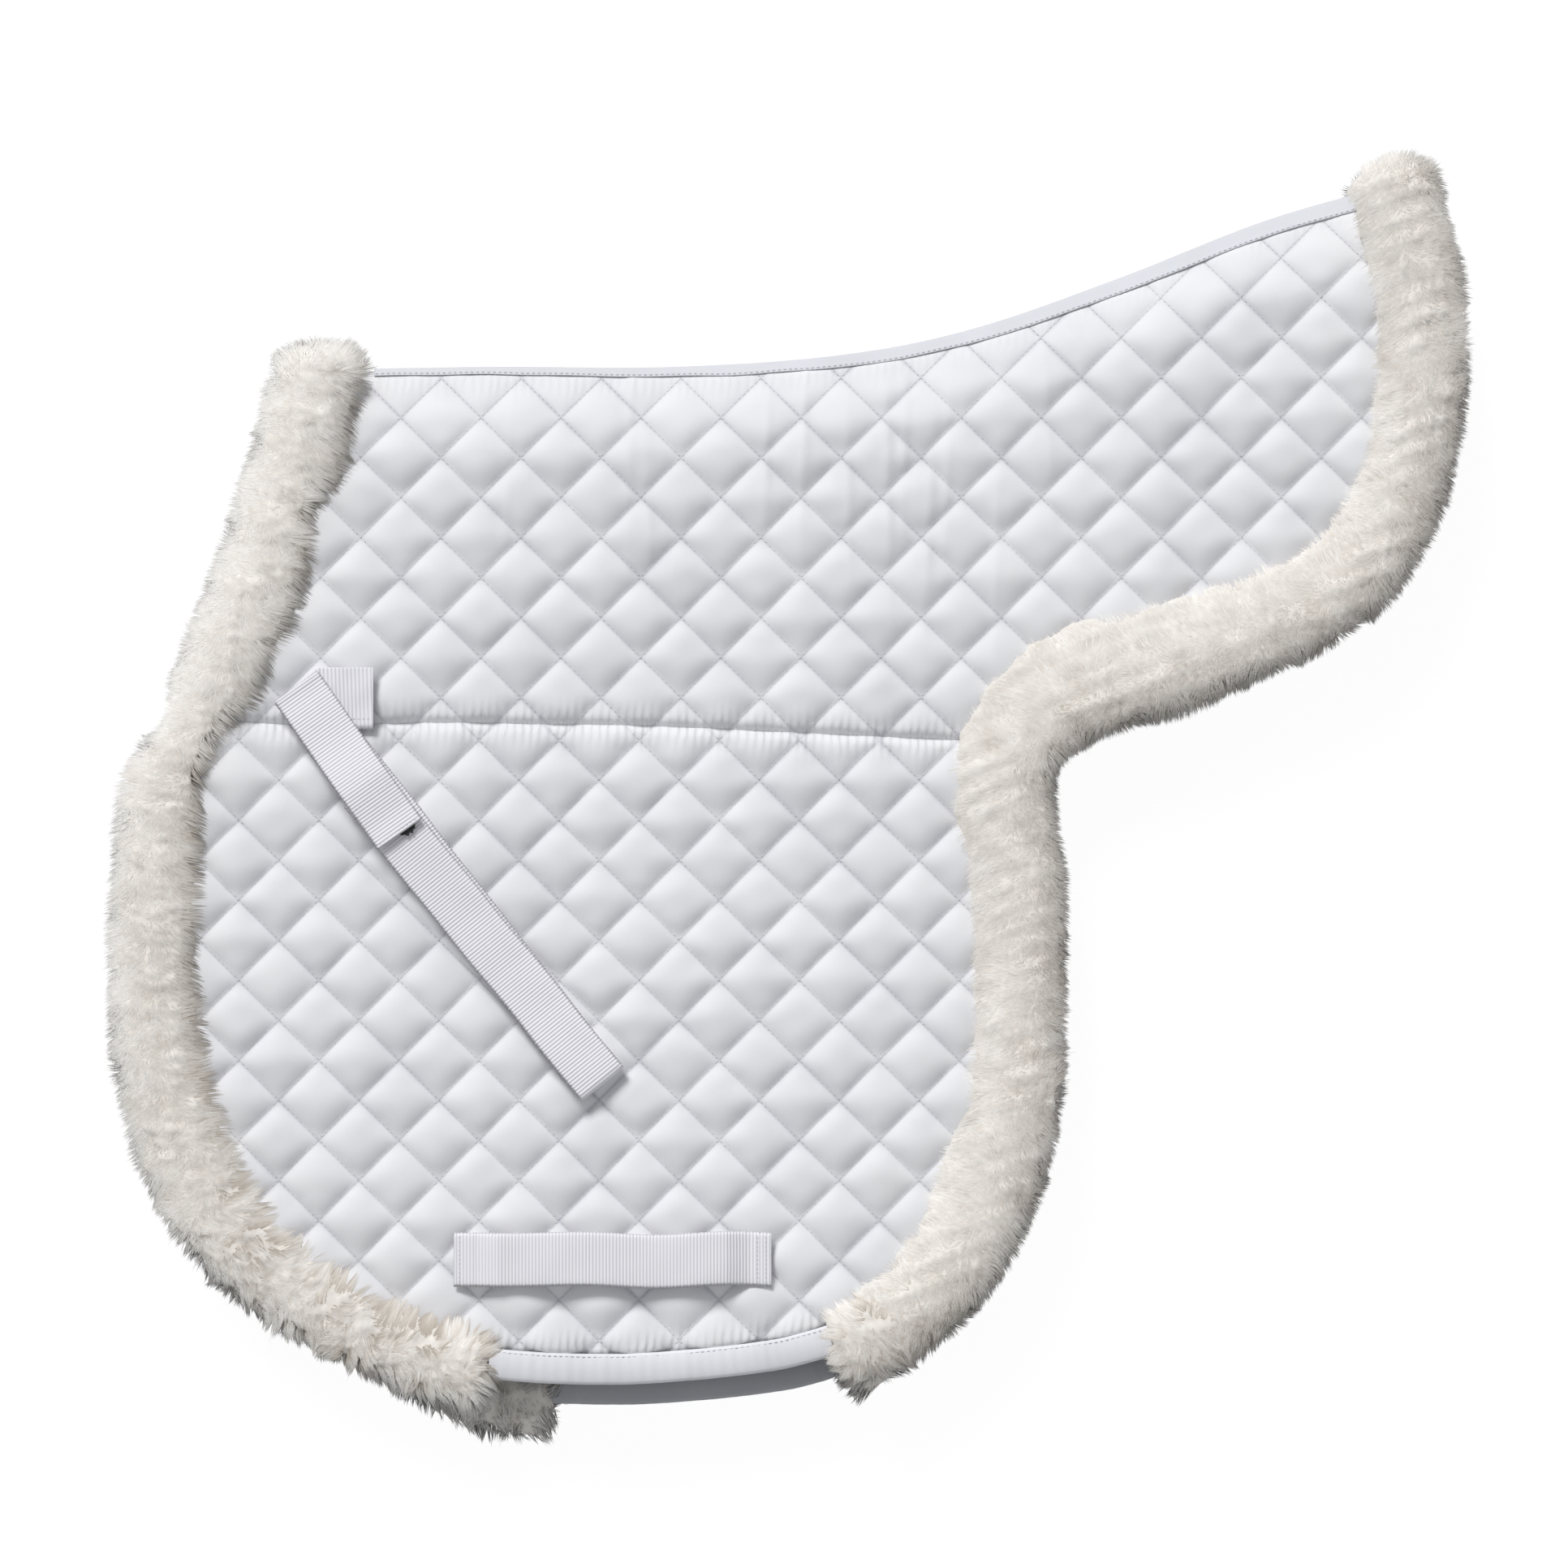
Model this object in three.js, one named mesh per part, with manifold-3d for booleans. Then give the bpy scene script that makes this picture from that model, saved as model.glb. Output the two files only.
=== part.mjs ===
// A fleece-edged hunter saddle pad, folded along its spine and lying on its off side.
// Millimetres, +Z up, +Y towards the spine, +X towards the horse's tail. The two sides of the pad
// mirror each other about the fold plane, so a height h is measured outwards from that plane.

import * as THREE from 'three';
import { mergeVertices } from 'three/addons/utils/BufferGeometryUtils.js';
import Module from 'manifold-3d';

const wasm = await Module();
wasm.setup();

// Driving dimensions
const CLEARANCE = 0.3;            // between neighbouring layers
const SHEET = 1.2;                // cover and lining cloth with their stitching
const WEBBING = 1.2;              // strap and keeper thickness
const WEBBING_WIDTH = 29;
const TAPE = 0.8;                 // hook tape and loop tape thickness
const LOFT = 7;                   // wadding in the open field of a panel
const PINCHED_LOFT = 0.6;         // wadding under the spine binding
const LOFT_RUN = 30;              // distance over which the wadding reaches full loft
const SPINE_LIFT = 0.3;           // lining face above the fold plane at the spine
const FULL_LIFT = 11.7;           // lining face above the fold plane in the open field
const LIFT_RUN = 55;              // distance below the spine over which a panel rises
const FLEECE_HEIGHT = 33;
const FRONT_FLEECE_WIDTH = 55;
const REAR_FLEECE_WIDTH = 50;
const FLEECE_CENTRE = FLEECE_HEIGHT / 2 + 0.2;
const DOME_LENGTH = 19;           // how far a fleece roll stands above the spine
const BINDING = 1.0;              // bias tape thickness
const SPINE_BINDING_WIDTH = 9.5;
const BOTTOM_BINDING_WIDTH = 14.5;
const STRAP_GAP = 4.6;            // between the two layers of the billet strap
const KEEPER_GAP = 5.3;           // under the girth keeper
const FLAP_OVERHANG = 13;         // how far the lower side shows past the upper one at the bottom

// The group's place: the fold plane's height, and the pattern's centre
const FOLD_PLANE_Z = FLEECE_HEIGHT + 0.2;
const CENTRE_X = 0.43;
const CENTRE_Y = 0.52;

// Heights derived from the layers
const OUTER_FACE = FULL_LIFT + 2 * SHEET + 2 * CLEARANCE + LOFT;
const ON_FACE = OUTER_FACE + CLEARANCE;
const HINGE_HEIGHT = OUTER_FACE + 0.4;

// Pattern lines, seen from the near side
const SPINE_POINTS = [
  [-250, 230], [-160, 231.5], [-60, 231.5], [30, 238], [100, 252], [178, 279], [257, 310], [327, 330],
];
const FRONT_POINTS = [
  [-250, 230], [-263, 181], [-283, 116], [-311, 50], [-331, 0], [-337, -60], [-338, -115],
  [-326, -175], [-296, -234], [-246, -277], [-200, -299], [-161, -308],
];
const REAR_POINTS = [
  [327, 330], [340, 270], [341, 215], [327, 158], [297, 114], [222, 76], [165, 56], [139, 39],
  [123, 8], [126, -50], [126, -110], [121, -180], [97, -240], [60, -279], [26, -295],
];
const BOTTOM_POINTS = [[26, -295], [-10, -304], [-75, -310.5], [-125, -310.5], [-161, -308]];
const OFF_FRONT_TAIL = [-131, -310.5];  // the off side's front fleece runs on a little further
const SEAM = { x: -306.7, y: 43.5, slope: -0.029 };
const FOLD = { x: 34.8, y: 183, slope: 0.172 };
const SLAB_STOPS = [0, 9, 18, 30, 42, 55, 620];
const SLAB_COLUMNS = 14;
const SLAB_X = [-360, 380];
const FAR = 2000;                 // beyond the pad in any direction

const colours = { cotton: 0xe9e9ee, wadding: 0xf4f3ee, fleece: 0xe6e0d6, webbing: 0xefeff5, hook: 0x17171a };
const COTTON = { color: colours.cotton, roughness: 0.85, metalness: 0 };
const WADDING = { color: colours.wadding, roughness: 1, metalness: 0 };
const FLEECE = { color: colours.fleece, roughness: 1, metalness: 0 };
const WEB = { color: colours.webbing, roughness: 0.7, metalness: 0 };
const HOOK = { color: colours.hook, roughness: 0.6, metalness: 0 };

// Solids

function solidOf(geometry) {
  const bare = geometry.index ? geometry.clone() : geometry;
  bare.deleteAttribute('normal');
  bare.deleteAttribute('uv');
  const merged = mergeVertices(bare, 1e-4);
  const build = (triVerts) => new wasm.Manifold(new wasm.Mesh({
    numProp: 3,
    vertProperties: Float32Array.from(merged.attributes.position.array),
    triVerts,
  }));
  const triangles = Uint32Array.from(merged.index.array);
  const solid = build(triangles);
  return solid.volume() > 0 ? solid : build(triangles.reverse());
}

function geometryOf(solid) {
  const mesh = solid.getMesh();
  const positions = new Float32Array(mesh.numVert * 3);
  for (let i = 0; i < mesh.numVert; i += 1) {
    for (let k = 0; k < 3; k += 1) positions[3 * i + k] = mesh.vertProperties[mesh.numProp * i + k];
  }
  const geometry = new THREE.BufferGeometry();
  geometry.setAttribute('position', new THREE.BufferAttribute(positions, 3));
  geometry.setIndex(Array.from(mesh.triVerts));
  geometry.computeVertexNormals();
  return geometry;
}

function named(name, geometry, look) {
  const mesh = new THREE.Mesh(geometry, new THREE.MeshStandardMaterial(look));
  mesh.name = name;
  return mesh;
}

// Curves

const smooth = (t) => {
  const c = Math.min(1, Math.max(0, t));
  return c * c * (3 - 2 * c);
};
const curve = (points) => new THREE.SplineCurve(points.map(([x, y]) => new THREE.Vector2(x, y)));
const spineSamples = curve(SPINE_POINTS).getPoints(200);

function spineY(x) {
  const after = spineSamples.findIndex((p) => p.x >= x);
  const i = after < 0 ? spineSamples.length - 1 : Math.max(1, after);
  const [a, b] = [spineSamples[i - 1], spineSamples[i]];
  return a.y + ((b.y - a.y) * (x - a.x)) / (b.x - a.x);
}

// The lower side slips down and back a little where it lies under the upper one.
const settleOff = (x, y) => {
  const share = smooth((-60 - y) / 190);
  return new THREE.Vector2(x + 0.35 * FLAP_OVERHANG * share, y - FLAP_OVERHANG * share);
};
const settleNear = (x, y) => new THREE.Vector2(x, y);

const edge = (points, count, settle) => curve(points).getSpacedPoints(count).map((p) => settle(p.x, p.y));

// A side's outline, left open above the spine, where the slabs have their own edge.
function outline(settle) {
  return [
    new THREE.Vector2(-250, 345),
    new THREE.Vector2(327, 345),
    ...edge(REAR_POINTS, 40, settle).slice(0, -1),
    ...edge(BOTTOM_POINTS, 10, settle).slice(0, -1),
    ...edge([...FRONT_POINTS].reverse(), 28, settle).slice(0, -1),
  ];
}

// Moves a closed outline outwards by a distance, or inwards if it is negative.
function grown(points, distance) {
  const turn = THREE.ShapeUtils.isClockWise(points) ? -1 : 1;
  return points.map((p, i) => {
    const before = points[(i + points.length - 1) % points.length];
    const after = points[(i + 1) % points.length];
    const along = after.clone().sub(before).normalize();
    return new THREE.Vector2(p.x + turn * distance * along.y, p.y - turn * distance * along.x);
  });
}

// Section heights of one side at a distance below the spine, straight between the slab's stops

const liftAt = (v) => SPINE_LIFT + (FULL_LIFT - SPINE_LIFT) * smooth(v / LIFT_RUN);
const loftAt = (v) => PINCHED_LOFT + (LOFT - PINCHED_LOFT) * smooth(v / LOFT_RUN);

function betweenStops(heightAt) {
  return (v) => {
    const i = Math.min(SLAB_STOPS.length - 2, Math.max(0, SLAB_STOPS.findIndex((stop) => stop > v) - 1));
    const share = (v - SLAB_STOPS[i]) / (SLAB_STOPS[i + 1] - SLAB_STOPS[i]);
    return THREE.MathUtils.lerp(heightAt(SLAB_STOPS[i]), heightAt(SLAB_STOPS[i + 1]), share);
  };
}

const layers = {
  lining: { low: liftAt, high: (v) => liftAt(v) + SHEET },
  wadding: {
    low: (v) => liftAt(v) + SHEET + CLEARANCE,
    high: (v) => liftAt(v) + SHEET + CLEARANCE + loftAt(v),
  },
  cover: {
    low: (v) => liftAt(v) + SHEET + 2 * CLEARANCE + loftAt(v),
    high: (v) => liftAt(v) + 2 * SHEET + 2 * CLEARANCE + loftAt(v),
  },
};
const outerFaceAt = betweenStops(layers.cover.high);

// Basic blocks

function prism(points, low, high) {
  const geometry = new THREE.ExtrudeGeometry(new THREE.Shape(points), {
    depth: Math.abs(high - low), bevelEnabled: false, steps: 1,
  });
  geometry.translate(0, 0, Math.min(low, high));
  return solidOf(geometry);
}

function block(xs, ys, zs) {
  const geometry = new THREE.BoxGeometry(xs[1] - xs[0], ys[1] - ys[0], Math.abs(zs[1] - zs[0]));
  geometry.translate((xs[0] + xs[1]) / 2, (ys[0] + ys[1]) / 2, (zs[0] + zs[1]) / 2);
  return solidOf(geometry);
}

// A slab that follows the spine: its faces are functions of the distance below it.
function saddleSlab(low, high, stops, sign) {
  const geometry = new THREE.BoxGeometry(1, 1, 1, SLAB_COLUMNS, stops.length - 1, 1);
  const position = geometry.attributes.position;
  for (let i = 0; i < position.count; i += 1) {
    const x = THREE.MathUtils.lerp(SLAB_X[0], SLAB_X[1], position.getX(i) + 0.5);
    const stop = Math.round((0.5 - position.getY(i)) * (stops.length - 1));
    const v = stops[stop];
    const height = position.getZ(i) > 0 ? high(v) : low(v);
    position.setXYZ(i, x, spineY(x) - v, sign * height);
  }
  return solidOf(geometry);
}

// Everything on one side of a slanted line, held back from it by a margin.
function beyond(line, above, margin) {
  const geometry = new THREE.BoxGeometry(FAR, FAR, FAR);
  const side = above ? 1 : -1;
  geometry.translate(0, side * (FAR / 2 + margin), 0);
  geometry.rotateZ(Math.atan(line.slope));
  geometry.translate(line.x, line.y, 0);
  return solidOf(geometry);
}

// The room that the fleece leaves at the fold, so that the near side can turn up through a right angle
function foldNotch() {
  const reach = 40;
  const spread = reach * Math.tan(THREE.MathUtils.degToRad(46));
  const wedge = new THREE.Shape([
    new THREE.Vector2(0, 0), new THREE.Vector2(spread, reach), new THREE.Vector2(-spread, reach),
  ]);
  const geometry = new THREE.ExtrudeGeometry(wedge, { depth: FAR, bevelEnabled: false });
  geometry.translate(0, 0, -FAR / 2);
  geometry.rotateX(Math.PI / 2);
  geometry.rotateZ(Math.PI / 2 + Math.atan(FOLD.slope));
  geometry.translate(FOLD.x, FOLD.y, HINGE_HEIGHT);
  return solidOf(geometry);
}

// Fleece

function fleeceSection(halfWidth, halfHeight) {
  const sides = 12;
  const flat = Math.cos(Math.PI / sides);
  return new THREE.Shape(Array.from({ length: sides }, (_, i) => {
    const angle = ((i + 0.5) * 2 * Math.PI) / sides;
    return new THREE.Vector2((halfHeight / flat) * Math.cos(angle), (halfWidth / flat) * Math.sin(angle));
  }));
}

// A roll of fleece along an edge, with a rounded end above the spine. A margin makes it larger all round.
function fleeceTube(roll, sign, settle, margin = 0) {
  const centre = edge(roll.points, roll.steps, settle)
    .map((p) => new THREE.Vector3(p.x, p.y, sign * FLEECE_CENTRE));
  const halfWidth = roll.width / 2 + margin;
  const halfHeight = FLEECE_HEIGHT / 2 + margin;
  const [last, end] = centre.slice(-2);
  end.add(end.clone().sub(last).setLength(margin));
  const tube = new THREE.ExtrudeGeometry(fleeceSection(halfWidth, halfHeight), {
    steps: roll.steps, extrudePath: new THREE.CatmullRomCurve3(centre), bevelEnabled: false,
  });
  const dome = new THREE.SphereGeometry(1, 12, 8);
  dome.scale(0.97 * halfWidth, DOME_LENGTH + margin, 0.97 * halfHeight);
  dome.translate(centre[0].x, centre[0].y, centre[0].z);
  return solidOf(tube).add(solidOf(dome));
}

// What a side's wadding and lining need inside its fleece, down to the fold plane where the sides close up.
function panelRoom(sign, settle) {
  const closing = (v) => liftAt(v) - CLEARANCE - FULL_LIFT * (1 - smooth(v / LIFT_RUN));
  const stops = [-1, ...SLAB_STOPS.slice(1)];
  const slab = saddleSlab(closing, (v) => layers.wadding.high(v) + CLEARANCE, stops, sign);
  return slab.intersect(prism(grown(outline(settle), 0.8), -FAR / 2, FAR / 2));
}

// One side's fleece: its two rolls, and the room they take from the covers, which end beside them.
function fleeceOf(sign, settle, frontPoints) {
  const front = { points: frontPoints, width: FRONT_FLEECE_WIDTH, steps: 24 };
  const rear = { points: REAR_POINTS, width: REAR_FLEECE_WIDTH, steps: 38 };
  const room = panelRoom(sign, settle);
  const tubes = (margin) => [front, rear].map((roll) => fleeceTube(roll, sign, settle, margin));
  const [frontTube, rearTube] = tubes(0);
  const [frontCut, rearCut] = tubes(CLEARANCE);
  return {
    front: frontTube.subtract(room),
    rear: rearTube.subtract(room),
    cut: frontCut.add(rearCut),
  };
}

// Straps: each is a side profile (along, height) swept across the webbing's width

function webbing(profile, width, start, direction, sign) {
  const shape = new THREE.Shape(profile.map(([s, h]) => new THREE.Vector2(s, sign * h)));
  const geometry = new THREE.ExtrudeGeometry(shape, { depth: width, bevelEnabled: false });
  geometry.translate(0, 0, -width / 2);
  geometry.rotateX(Math.PI / 2);
  geometry.rotateZ(Math.atan2(direction.y, direction.x));
  geometry.translate(start.x, start.y, 0);
  return geometry;
}

const FOLD_END = new THREE.Vector2(-98.7, -151.8);
const FOLD_END_RUN = new THREE.Vector2(-0.629, 0.778);
const TAB_START = new THREE.Vector2(-263, 61);
const TAB_RUN = new THREE.Vector2(0.577, -0.817);
const ANCHOR = [[-221.5, 38], [-221.5, 71], [-251, 71], [-275.3, 52.3], [-250, 38]];
const UNDER_LENGTH = 240;
const LOOP_LENGTH = 202;
const TAB_LENGTH = 97;
const TAPE_LENGTH = 29;
const KEEPER_CENTRE = new THREE.Vector2(-93.5, -245.8);
const KEEPER_HALF = 85;

const LOOP_HEIGHT = ON_FACE + WEBBING + STRAP_GAP;
const LOOP_TAPE_HEIGHT = LOOP_HEIGHT + WEBBING + 0.2;
const HOOK_TAPE_HEIGHT = LOOP_TAPE_HEIGHT + TAPE + 0.2;
const TAB_END_HEIGHT = HOOK_TAPE_HEIGHT + TAPE + 0.1;
const ANCHOR_HEIGHT = ON_FACE + WEBBING + CLEARANCE;
const TAB_START_HEIGHT = ANCHOR_HEIGHT + WEBBING + CLEARANCE;

// Profiles: a band of even thickness over its stations, and a straight bar
const band = (stations) => [
  ...stations,
  ...[...stations].reverse().map(([s, h]) => [s, h + WEBBING]),
];
const bar = (from, to, low, high) => [[from, low], [to, low], [to, high], [from, high]];

function straps(side, sign, settle) {
  const foldEnd = settle(FOLD_END.x, FOLD_END.y);
  const under = webbing([
    [0, ON_FACE], [UNDER_LENGTH, ON_FACE], [UNDER_LENGTH, ON_FACE + WEBBING], [WEBBING, ON_FACE + WEBBING],
    [WEBBING, LOOP_HEIGHT - 0.4], [0, LOOP_HEIGHT - 0.4],
  ], WEBBING_WIDTH, foldEnd, FOLD_END_RUN, sign);
  const loop = webbing(
    bar(0.3, LOOP_LENGTH, LOOP_HEIGHT, LOOP_HEIGHT + WEBBING), WEBBING_WIDTH, foldEnd, FOLD_END_RUN, sign,
  );
  const loopTape = webbing(
    bar(LOOP_LENGTH - TAPE_LENGTH, LOOP_LENGTH - 1, LOOP_TAPE_HEIGHT, LOOP_TAPE_HEIGHT + TAPE),
    WEBBING_WIDTH - 3, foldEnd, FOLD_END_RUN, sign,
  );
  const tab = webbing(band([
    [0.5, TAB_START_HEIGHT], [8, TAB_START_HEIGHT], [62, TAB_END_HEIGHT], [TAB_LENGTH, TAB_END_HEIGHT],
  ]), WEBBING_WIDTH, TAB_START, TAB_RUN, sign);
  const hookTape = webbing(
    bar(TAB_LENGTH - TAPE_LENGTH + 1, TAB_LENGTH - 1, HOOK_TAPE_HEIGHT, HOOK_TAPE_HEIGHT + TAPE),
    WEBBING_WIDTH - 3, TAB_START, TAB_RUN, sign,
  );
  const anchorShape = ANCHOR.map(([x, y]) => new THREE.Vector2(x, y));
  const anchor = geometryOf(prism(anchorShape, sign * ANCHOR_HEIGHT, sign * (ANCHOR_HEIGHT + WEBBING)));
  const tack = ANCHOR_HEIGHT + WEBBING + 0.3;
  const anchorTack = geometryOf(block([-247, -224], [40.5, 43], [sign * tack, sign * (tack + 0.6)]));
  return {
    fixed: [
      named(`${side}_strap_under`, under, WEB),
      named(`${side}_strap_anchor`, anchor, WEB),
      named(`${side}_anchor_tack`, anchorTack, WEB),
    ],
    tab: [named(`${side}_closure_tab`, tab, WEB), named(`${side}_hook_tape`, hookTape, HOOK)],
    loop: [named(`${side}_strap_loop`, loop, WEB), named(`${side}_loop_tape`, loopTape, WEB)],
  };
}

function girthKeeper(side, sign, settle) {
  const centre = settle(KEEPER_CENTRE.x, KEEPER_CENTRE.y);
  const raised = OUTER_FACE + KEEPER_GAP;
  const keeper = webbing(band([
    [-KEEPER_HALF, ON_FACE], [-74, ON_FACE], [-62, raised],
    [62, raised], [74, ON_FACE], [KEEPER_HALF, ON_FACE],
  ]), WEBBING_WIDTH, centre, new THREE.Vector2(1, 0), sign);
  const tackLow = ON_FACE + WEBBING + 0.3;
  const tack = (x) => webbing(
    bar(x - 1.2, x + 1.2, tackLow, tackLow + 0.6), WEBBING_WIDTH - 3, centre, new THREE.Vector2(1, 0), sign,
  );
  return [
    named(`${side}_girth_keeper`, keeper, WEB),
    named(`${side}_keeper_front_tack`, tack(-80.5), WEB),
    named(`${side}_keeper_rear_tack`, tack(80.5), WEB),
  ];
}

// Panels and trim of one side

function bottomBinding(side, sign, settle, start) {
  const pattern = outline(settle);
  const inner = sign * (FULL_LIFT - CLEARANCE);
  const outer = sign * (OUTER_FACE + CLEARANCE);
  const shell = prism(grown(pattern, CLEARANCE + BINDING), inner - sign * BINDING, outer + sign * BINDING)
    .subtract(prism(grown(pattern, -BOTTOM_BINDING_WIDTH), -FAR / 2, FAR / 2))
    .subtract(prism(grown(pattern, CLEARANCE), inner, outer));
  const shift = settle(0, -300).x;
  const span = block([start + shift, 15 + shift], [-400, -240], [-FAR / 2, FAR / 2]);
  return named(`${side}_bottom_binding`, geometryOf(shell.intersect(span)), COTTON);
}

function spineBinding() {
  const outside = (v) => outerFaceAt(v) + CLEARANCE + BINDING;
  const inside = (v) => outerFaceAt(v) + CLEARANCE;
  const stops = [-1.5, 4, SPINE_BINDING_WIDTH];
  const room = [-0.4, 4, SPINE_BINDING_WIDTH + 4];
  const full = saddleSlab((v) => -outside(v), outside, stops, 1)
    .subtract(saddleSlab((v) => -inside(v), inside, room, 1));
  return named('spine_binding', geometryOf(full.intersect(block([-221, 296], [0, 500], [-50, 50]))), COTTON);
}

const layerLook = { cover: COTTON, wadding: WADDING, lining: COTTON };
const aboveSeam = () => beyond(SEAM, true, 0.2);
const belowSeam = () => beyond(SEAM, false, 0.2);

// The cover, wadding and lining of one panel, each a slab of its own.
function panels(name, slabOf, region, fleece) {
  return Object.keys(layers).map((layer) => {
    const slab = slabOf(layers[layer]).intersect(region);
    const shaped = layer === 'cover' ? slab.subtract(fleece.cut) : slab;
    return named(`${name}_${layer}`, geometryOf(shaped), layerLook[layer]);
  });
}

const everyHeight = (pattern) => prism(pattern, -FAR / 2, FAR / 2);
const flatSlab = (pattern, sign) => ({ low, high }) => prism(pattern, sign * low(FAR), sign * high(FAR));
const curvedSlab = (sign) => ({ low, high }) => saddleSlab(low, high, SLAB_STOPS, sign);

const flapPanels = (side, sign, settle, fleece) => panels(
  `${side}_flap`, flatSlab(outline(settle), sign), belowSeam(), fleece,
);

// The off side's seat runs up to the spine in one piece.
const offSeatPanels = (fleece) => panels(
  'off_seat', curvedSlab(-1), everyHeight(outline(settleOff)).intersect(aboveSeam()), fleece,
);

// The near side's seat is flat below the fold line, and curves up to the spine above it.
const belowFold = () => beyond(FOLD, false, CLEARANCE);
const aboveFold = () => beyond(FOLD, true, CLEARANCE);
const nearSeatPanels = (fleece) => panels(
  'near_seat', flatSlab(outline(settleNear), 1), aboveSeam().intersect(belowFold()), fleece,
);
const nearSpinePanels = (fleece) => panels(
  'near_spine', curvedSlab(1), everyHeight(outline(settleNear)).intersect(aboveFold()), fleece,
);

// Assembly

function group(...meshes) {
  const made = new THREE.Group();
  made.add(...meshes);
  return made;
}

const offFleece = fleeceOf(-1, settleOff, [...FRONT_POINTS, OFF_FRONT_TAIL]);
const offStraps = straps('off', -1, settleOff);
const offSide = group(
  ...offSeatPanels(offFleece),
  ...flapPanels('off', -1, settleOff, offFleece),
  named('off_front_fleece', geometryOf(offFleece.front), FLEECE),
  named('off_rear_fleece', geometryOf(offFleece.rear), FLEECE),
  bottomBinding('off', -1, settleOff, -126.5),
  ...girthKeeper('off', -1, settleOff),
  ...offStraps.fixed,
);

const nearFleece = fleeceOf(1, settleNear, FRONT_POINTS);
const notch = foldNotch();
const moving = belowFold().subtract(notch);
const staying = aboveFold().subtract(notch);
const spine = group(
  ...nearSpinePanels(nearFleece),
  spineBinding(),
  named('near_withers_fleece', geometryOf(nearFleece.front.intersect(staying)), FLEECE),
  named('near_cantle_fleece', geometryOf(nearFleece.rear.intersect(staying)), FLEECE),
);

const nearStraps = straps('near', 1, settleNear);
const nearSide = group(
  ...nearSeatPanels(nearFleece),
  ...flapPanels('near', 1, settleNear, nearFleece),
  named('near_front_fleece', geometryOf(nearFleece.front.intersect(moving)), FLEECE),
  named('near_rear_fleece', geometryOf(nearFleece.rear.intersect(moving)), FLEECE),
  bottomBinding('near', 1, settleNear, -156.5),
  ...girthKeeper('near', 1, settleNear),
  ...nearStraps.fixed,
);

const saddlePad = group(
  offSide,
  group(...offStraps.tab),
  group(...offStraps.loop),
  spine,
  nearSide,
  group(...nearStraps.tab),
  group(...nearStraps.loop),
);
saddlePad.position.set(-CENTRE_X, -CENTRE_Y, FOLD_PLANE_Z);

export default saddlePad;
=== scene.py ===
"""Looks of a fleece-edged, quilted saddle pad that lies folded on its off side, built round its frame."""
import logging
import math
from dataclasses import dataclass, field
from enum import Enum

import bmesh
import bpy
import numpy as np
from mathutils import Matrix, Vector
from mathutils.kdtree import KDTree


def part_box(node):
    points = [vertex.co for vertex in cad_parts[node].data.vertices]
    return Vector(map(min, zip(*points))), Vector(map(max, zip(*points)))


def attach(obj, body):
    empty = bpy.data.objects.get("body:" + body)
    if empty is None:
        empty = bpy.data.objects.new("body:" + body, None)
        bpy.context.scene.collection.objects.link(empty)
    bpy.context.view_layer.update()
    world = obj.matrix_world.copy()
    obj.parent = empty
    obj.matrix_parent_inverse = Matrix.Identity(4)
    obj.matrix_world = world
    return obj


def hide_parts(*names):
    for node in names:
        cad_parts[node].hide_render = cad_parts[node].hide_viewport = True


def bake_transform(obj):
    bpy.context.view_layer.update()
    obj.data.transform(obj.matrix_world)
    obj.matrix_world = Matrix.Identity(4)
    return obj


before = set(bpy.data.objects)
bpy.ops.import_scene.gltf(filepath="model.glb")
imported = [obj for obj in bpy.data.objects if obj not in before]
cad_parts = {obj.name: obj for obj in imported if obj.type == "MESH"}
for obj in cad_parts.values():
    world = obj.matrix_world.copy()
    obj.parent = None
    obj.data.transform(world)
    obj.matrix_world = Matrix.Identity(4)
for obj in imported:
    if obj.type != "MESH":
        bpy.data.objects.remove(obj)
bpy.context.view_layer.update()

log = logging.getLogger("saddle_pad")
MM = 0.001
Array = np.ndarray


class Edge(Enum):
    """Which edge of the pad a fleece roll follows; the value is its name in piece names."""

    FRONT = "front_fleece"
    REAR = "rear_fleece"


class Side(Enum):
    """Which side of the horse a piece lies on."""

    NEAR = 1
    OFF = -1

    @property
    def word(self) -> str:
        """The side's name in piece names."""
        return self.name.lower()


# ---------------------------------------------------------------- curves and meshes


def smooth(t: Array | float) -> Array | float:
    """Smooth step from 0 to 1 of t, held at both ends."""
    c = np.clip(t, 0.0, 1.0)
    return c * c * (3.0 - 2.0 * c)


def hump(values: Array, middle: float, spread: float) -> Array:
    """A bell of height 1 about a middle value."""
    return np.exp(-(((values - middle) / spread) ** 2))


def spline(points: list[tuple[float, float]] | Array, count: int) -> Array:
    """Evenly spaced points on a uniform Catmull-Rom curve.

    Args:
        points: The curve's control points.
        count: How many points to return, both ends among them.

    Returns:
        An array of count rows of x and y.
    """
    known = np.asarray(points, float)
    padded = np.vstack([known[:1], known, known[-1:]])
    t = np.linspace(0, len(known) - 1, 60 * len(known))
    i = np.minimum(t.astype(int), len(known) - 2)
    f = (t - i)[:, None]
    p0, p1, p2, p3 = (padded[i + k] for k in range(4))
    v0, v1 = (p2 - p0) / 2, (p3 - p1) / 2
    fine = (2 * p1 - 2 * p2 + v0 + v1) * f**3 + (3 * p2 - 3 * p1 - 2 * v0 - v1) * f**2 + v0 * f + p1
    return resample(fine, count)


def resample(line: Array, count: int) -> Array:
    """A line's points moved to even spacing along it.

    Args:
        line: Points of the line, one per row.
        count: How many points to return.

    Returns:
        An array of count rows.
    """
    along = np.concatenate([[0], np.cumsum(np.linalg.norm(np.diff(line, axis=0), axis=1))])
    at = np.linspace(0, along[-1], count)
    return np.stack([np.interp(at, along, line[:, k]) for k in range(line.shape[1])], 1)


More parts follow.
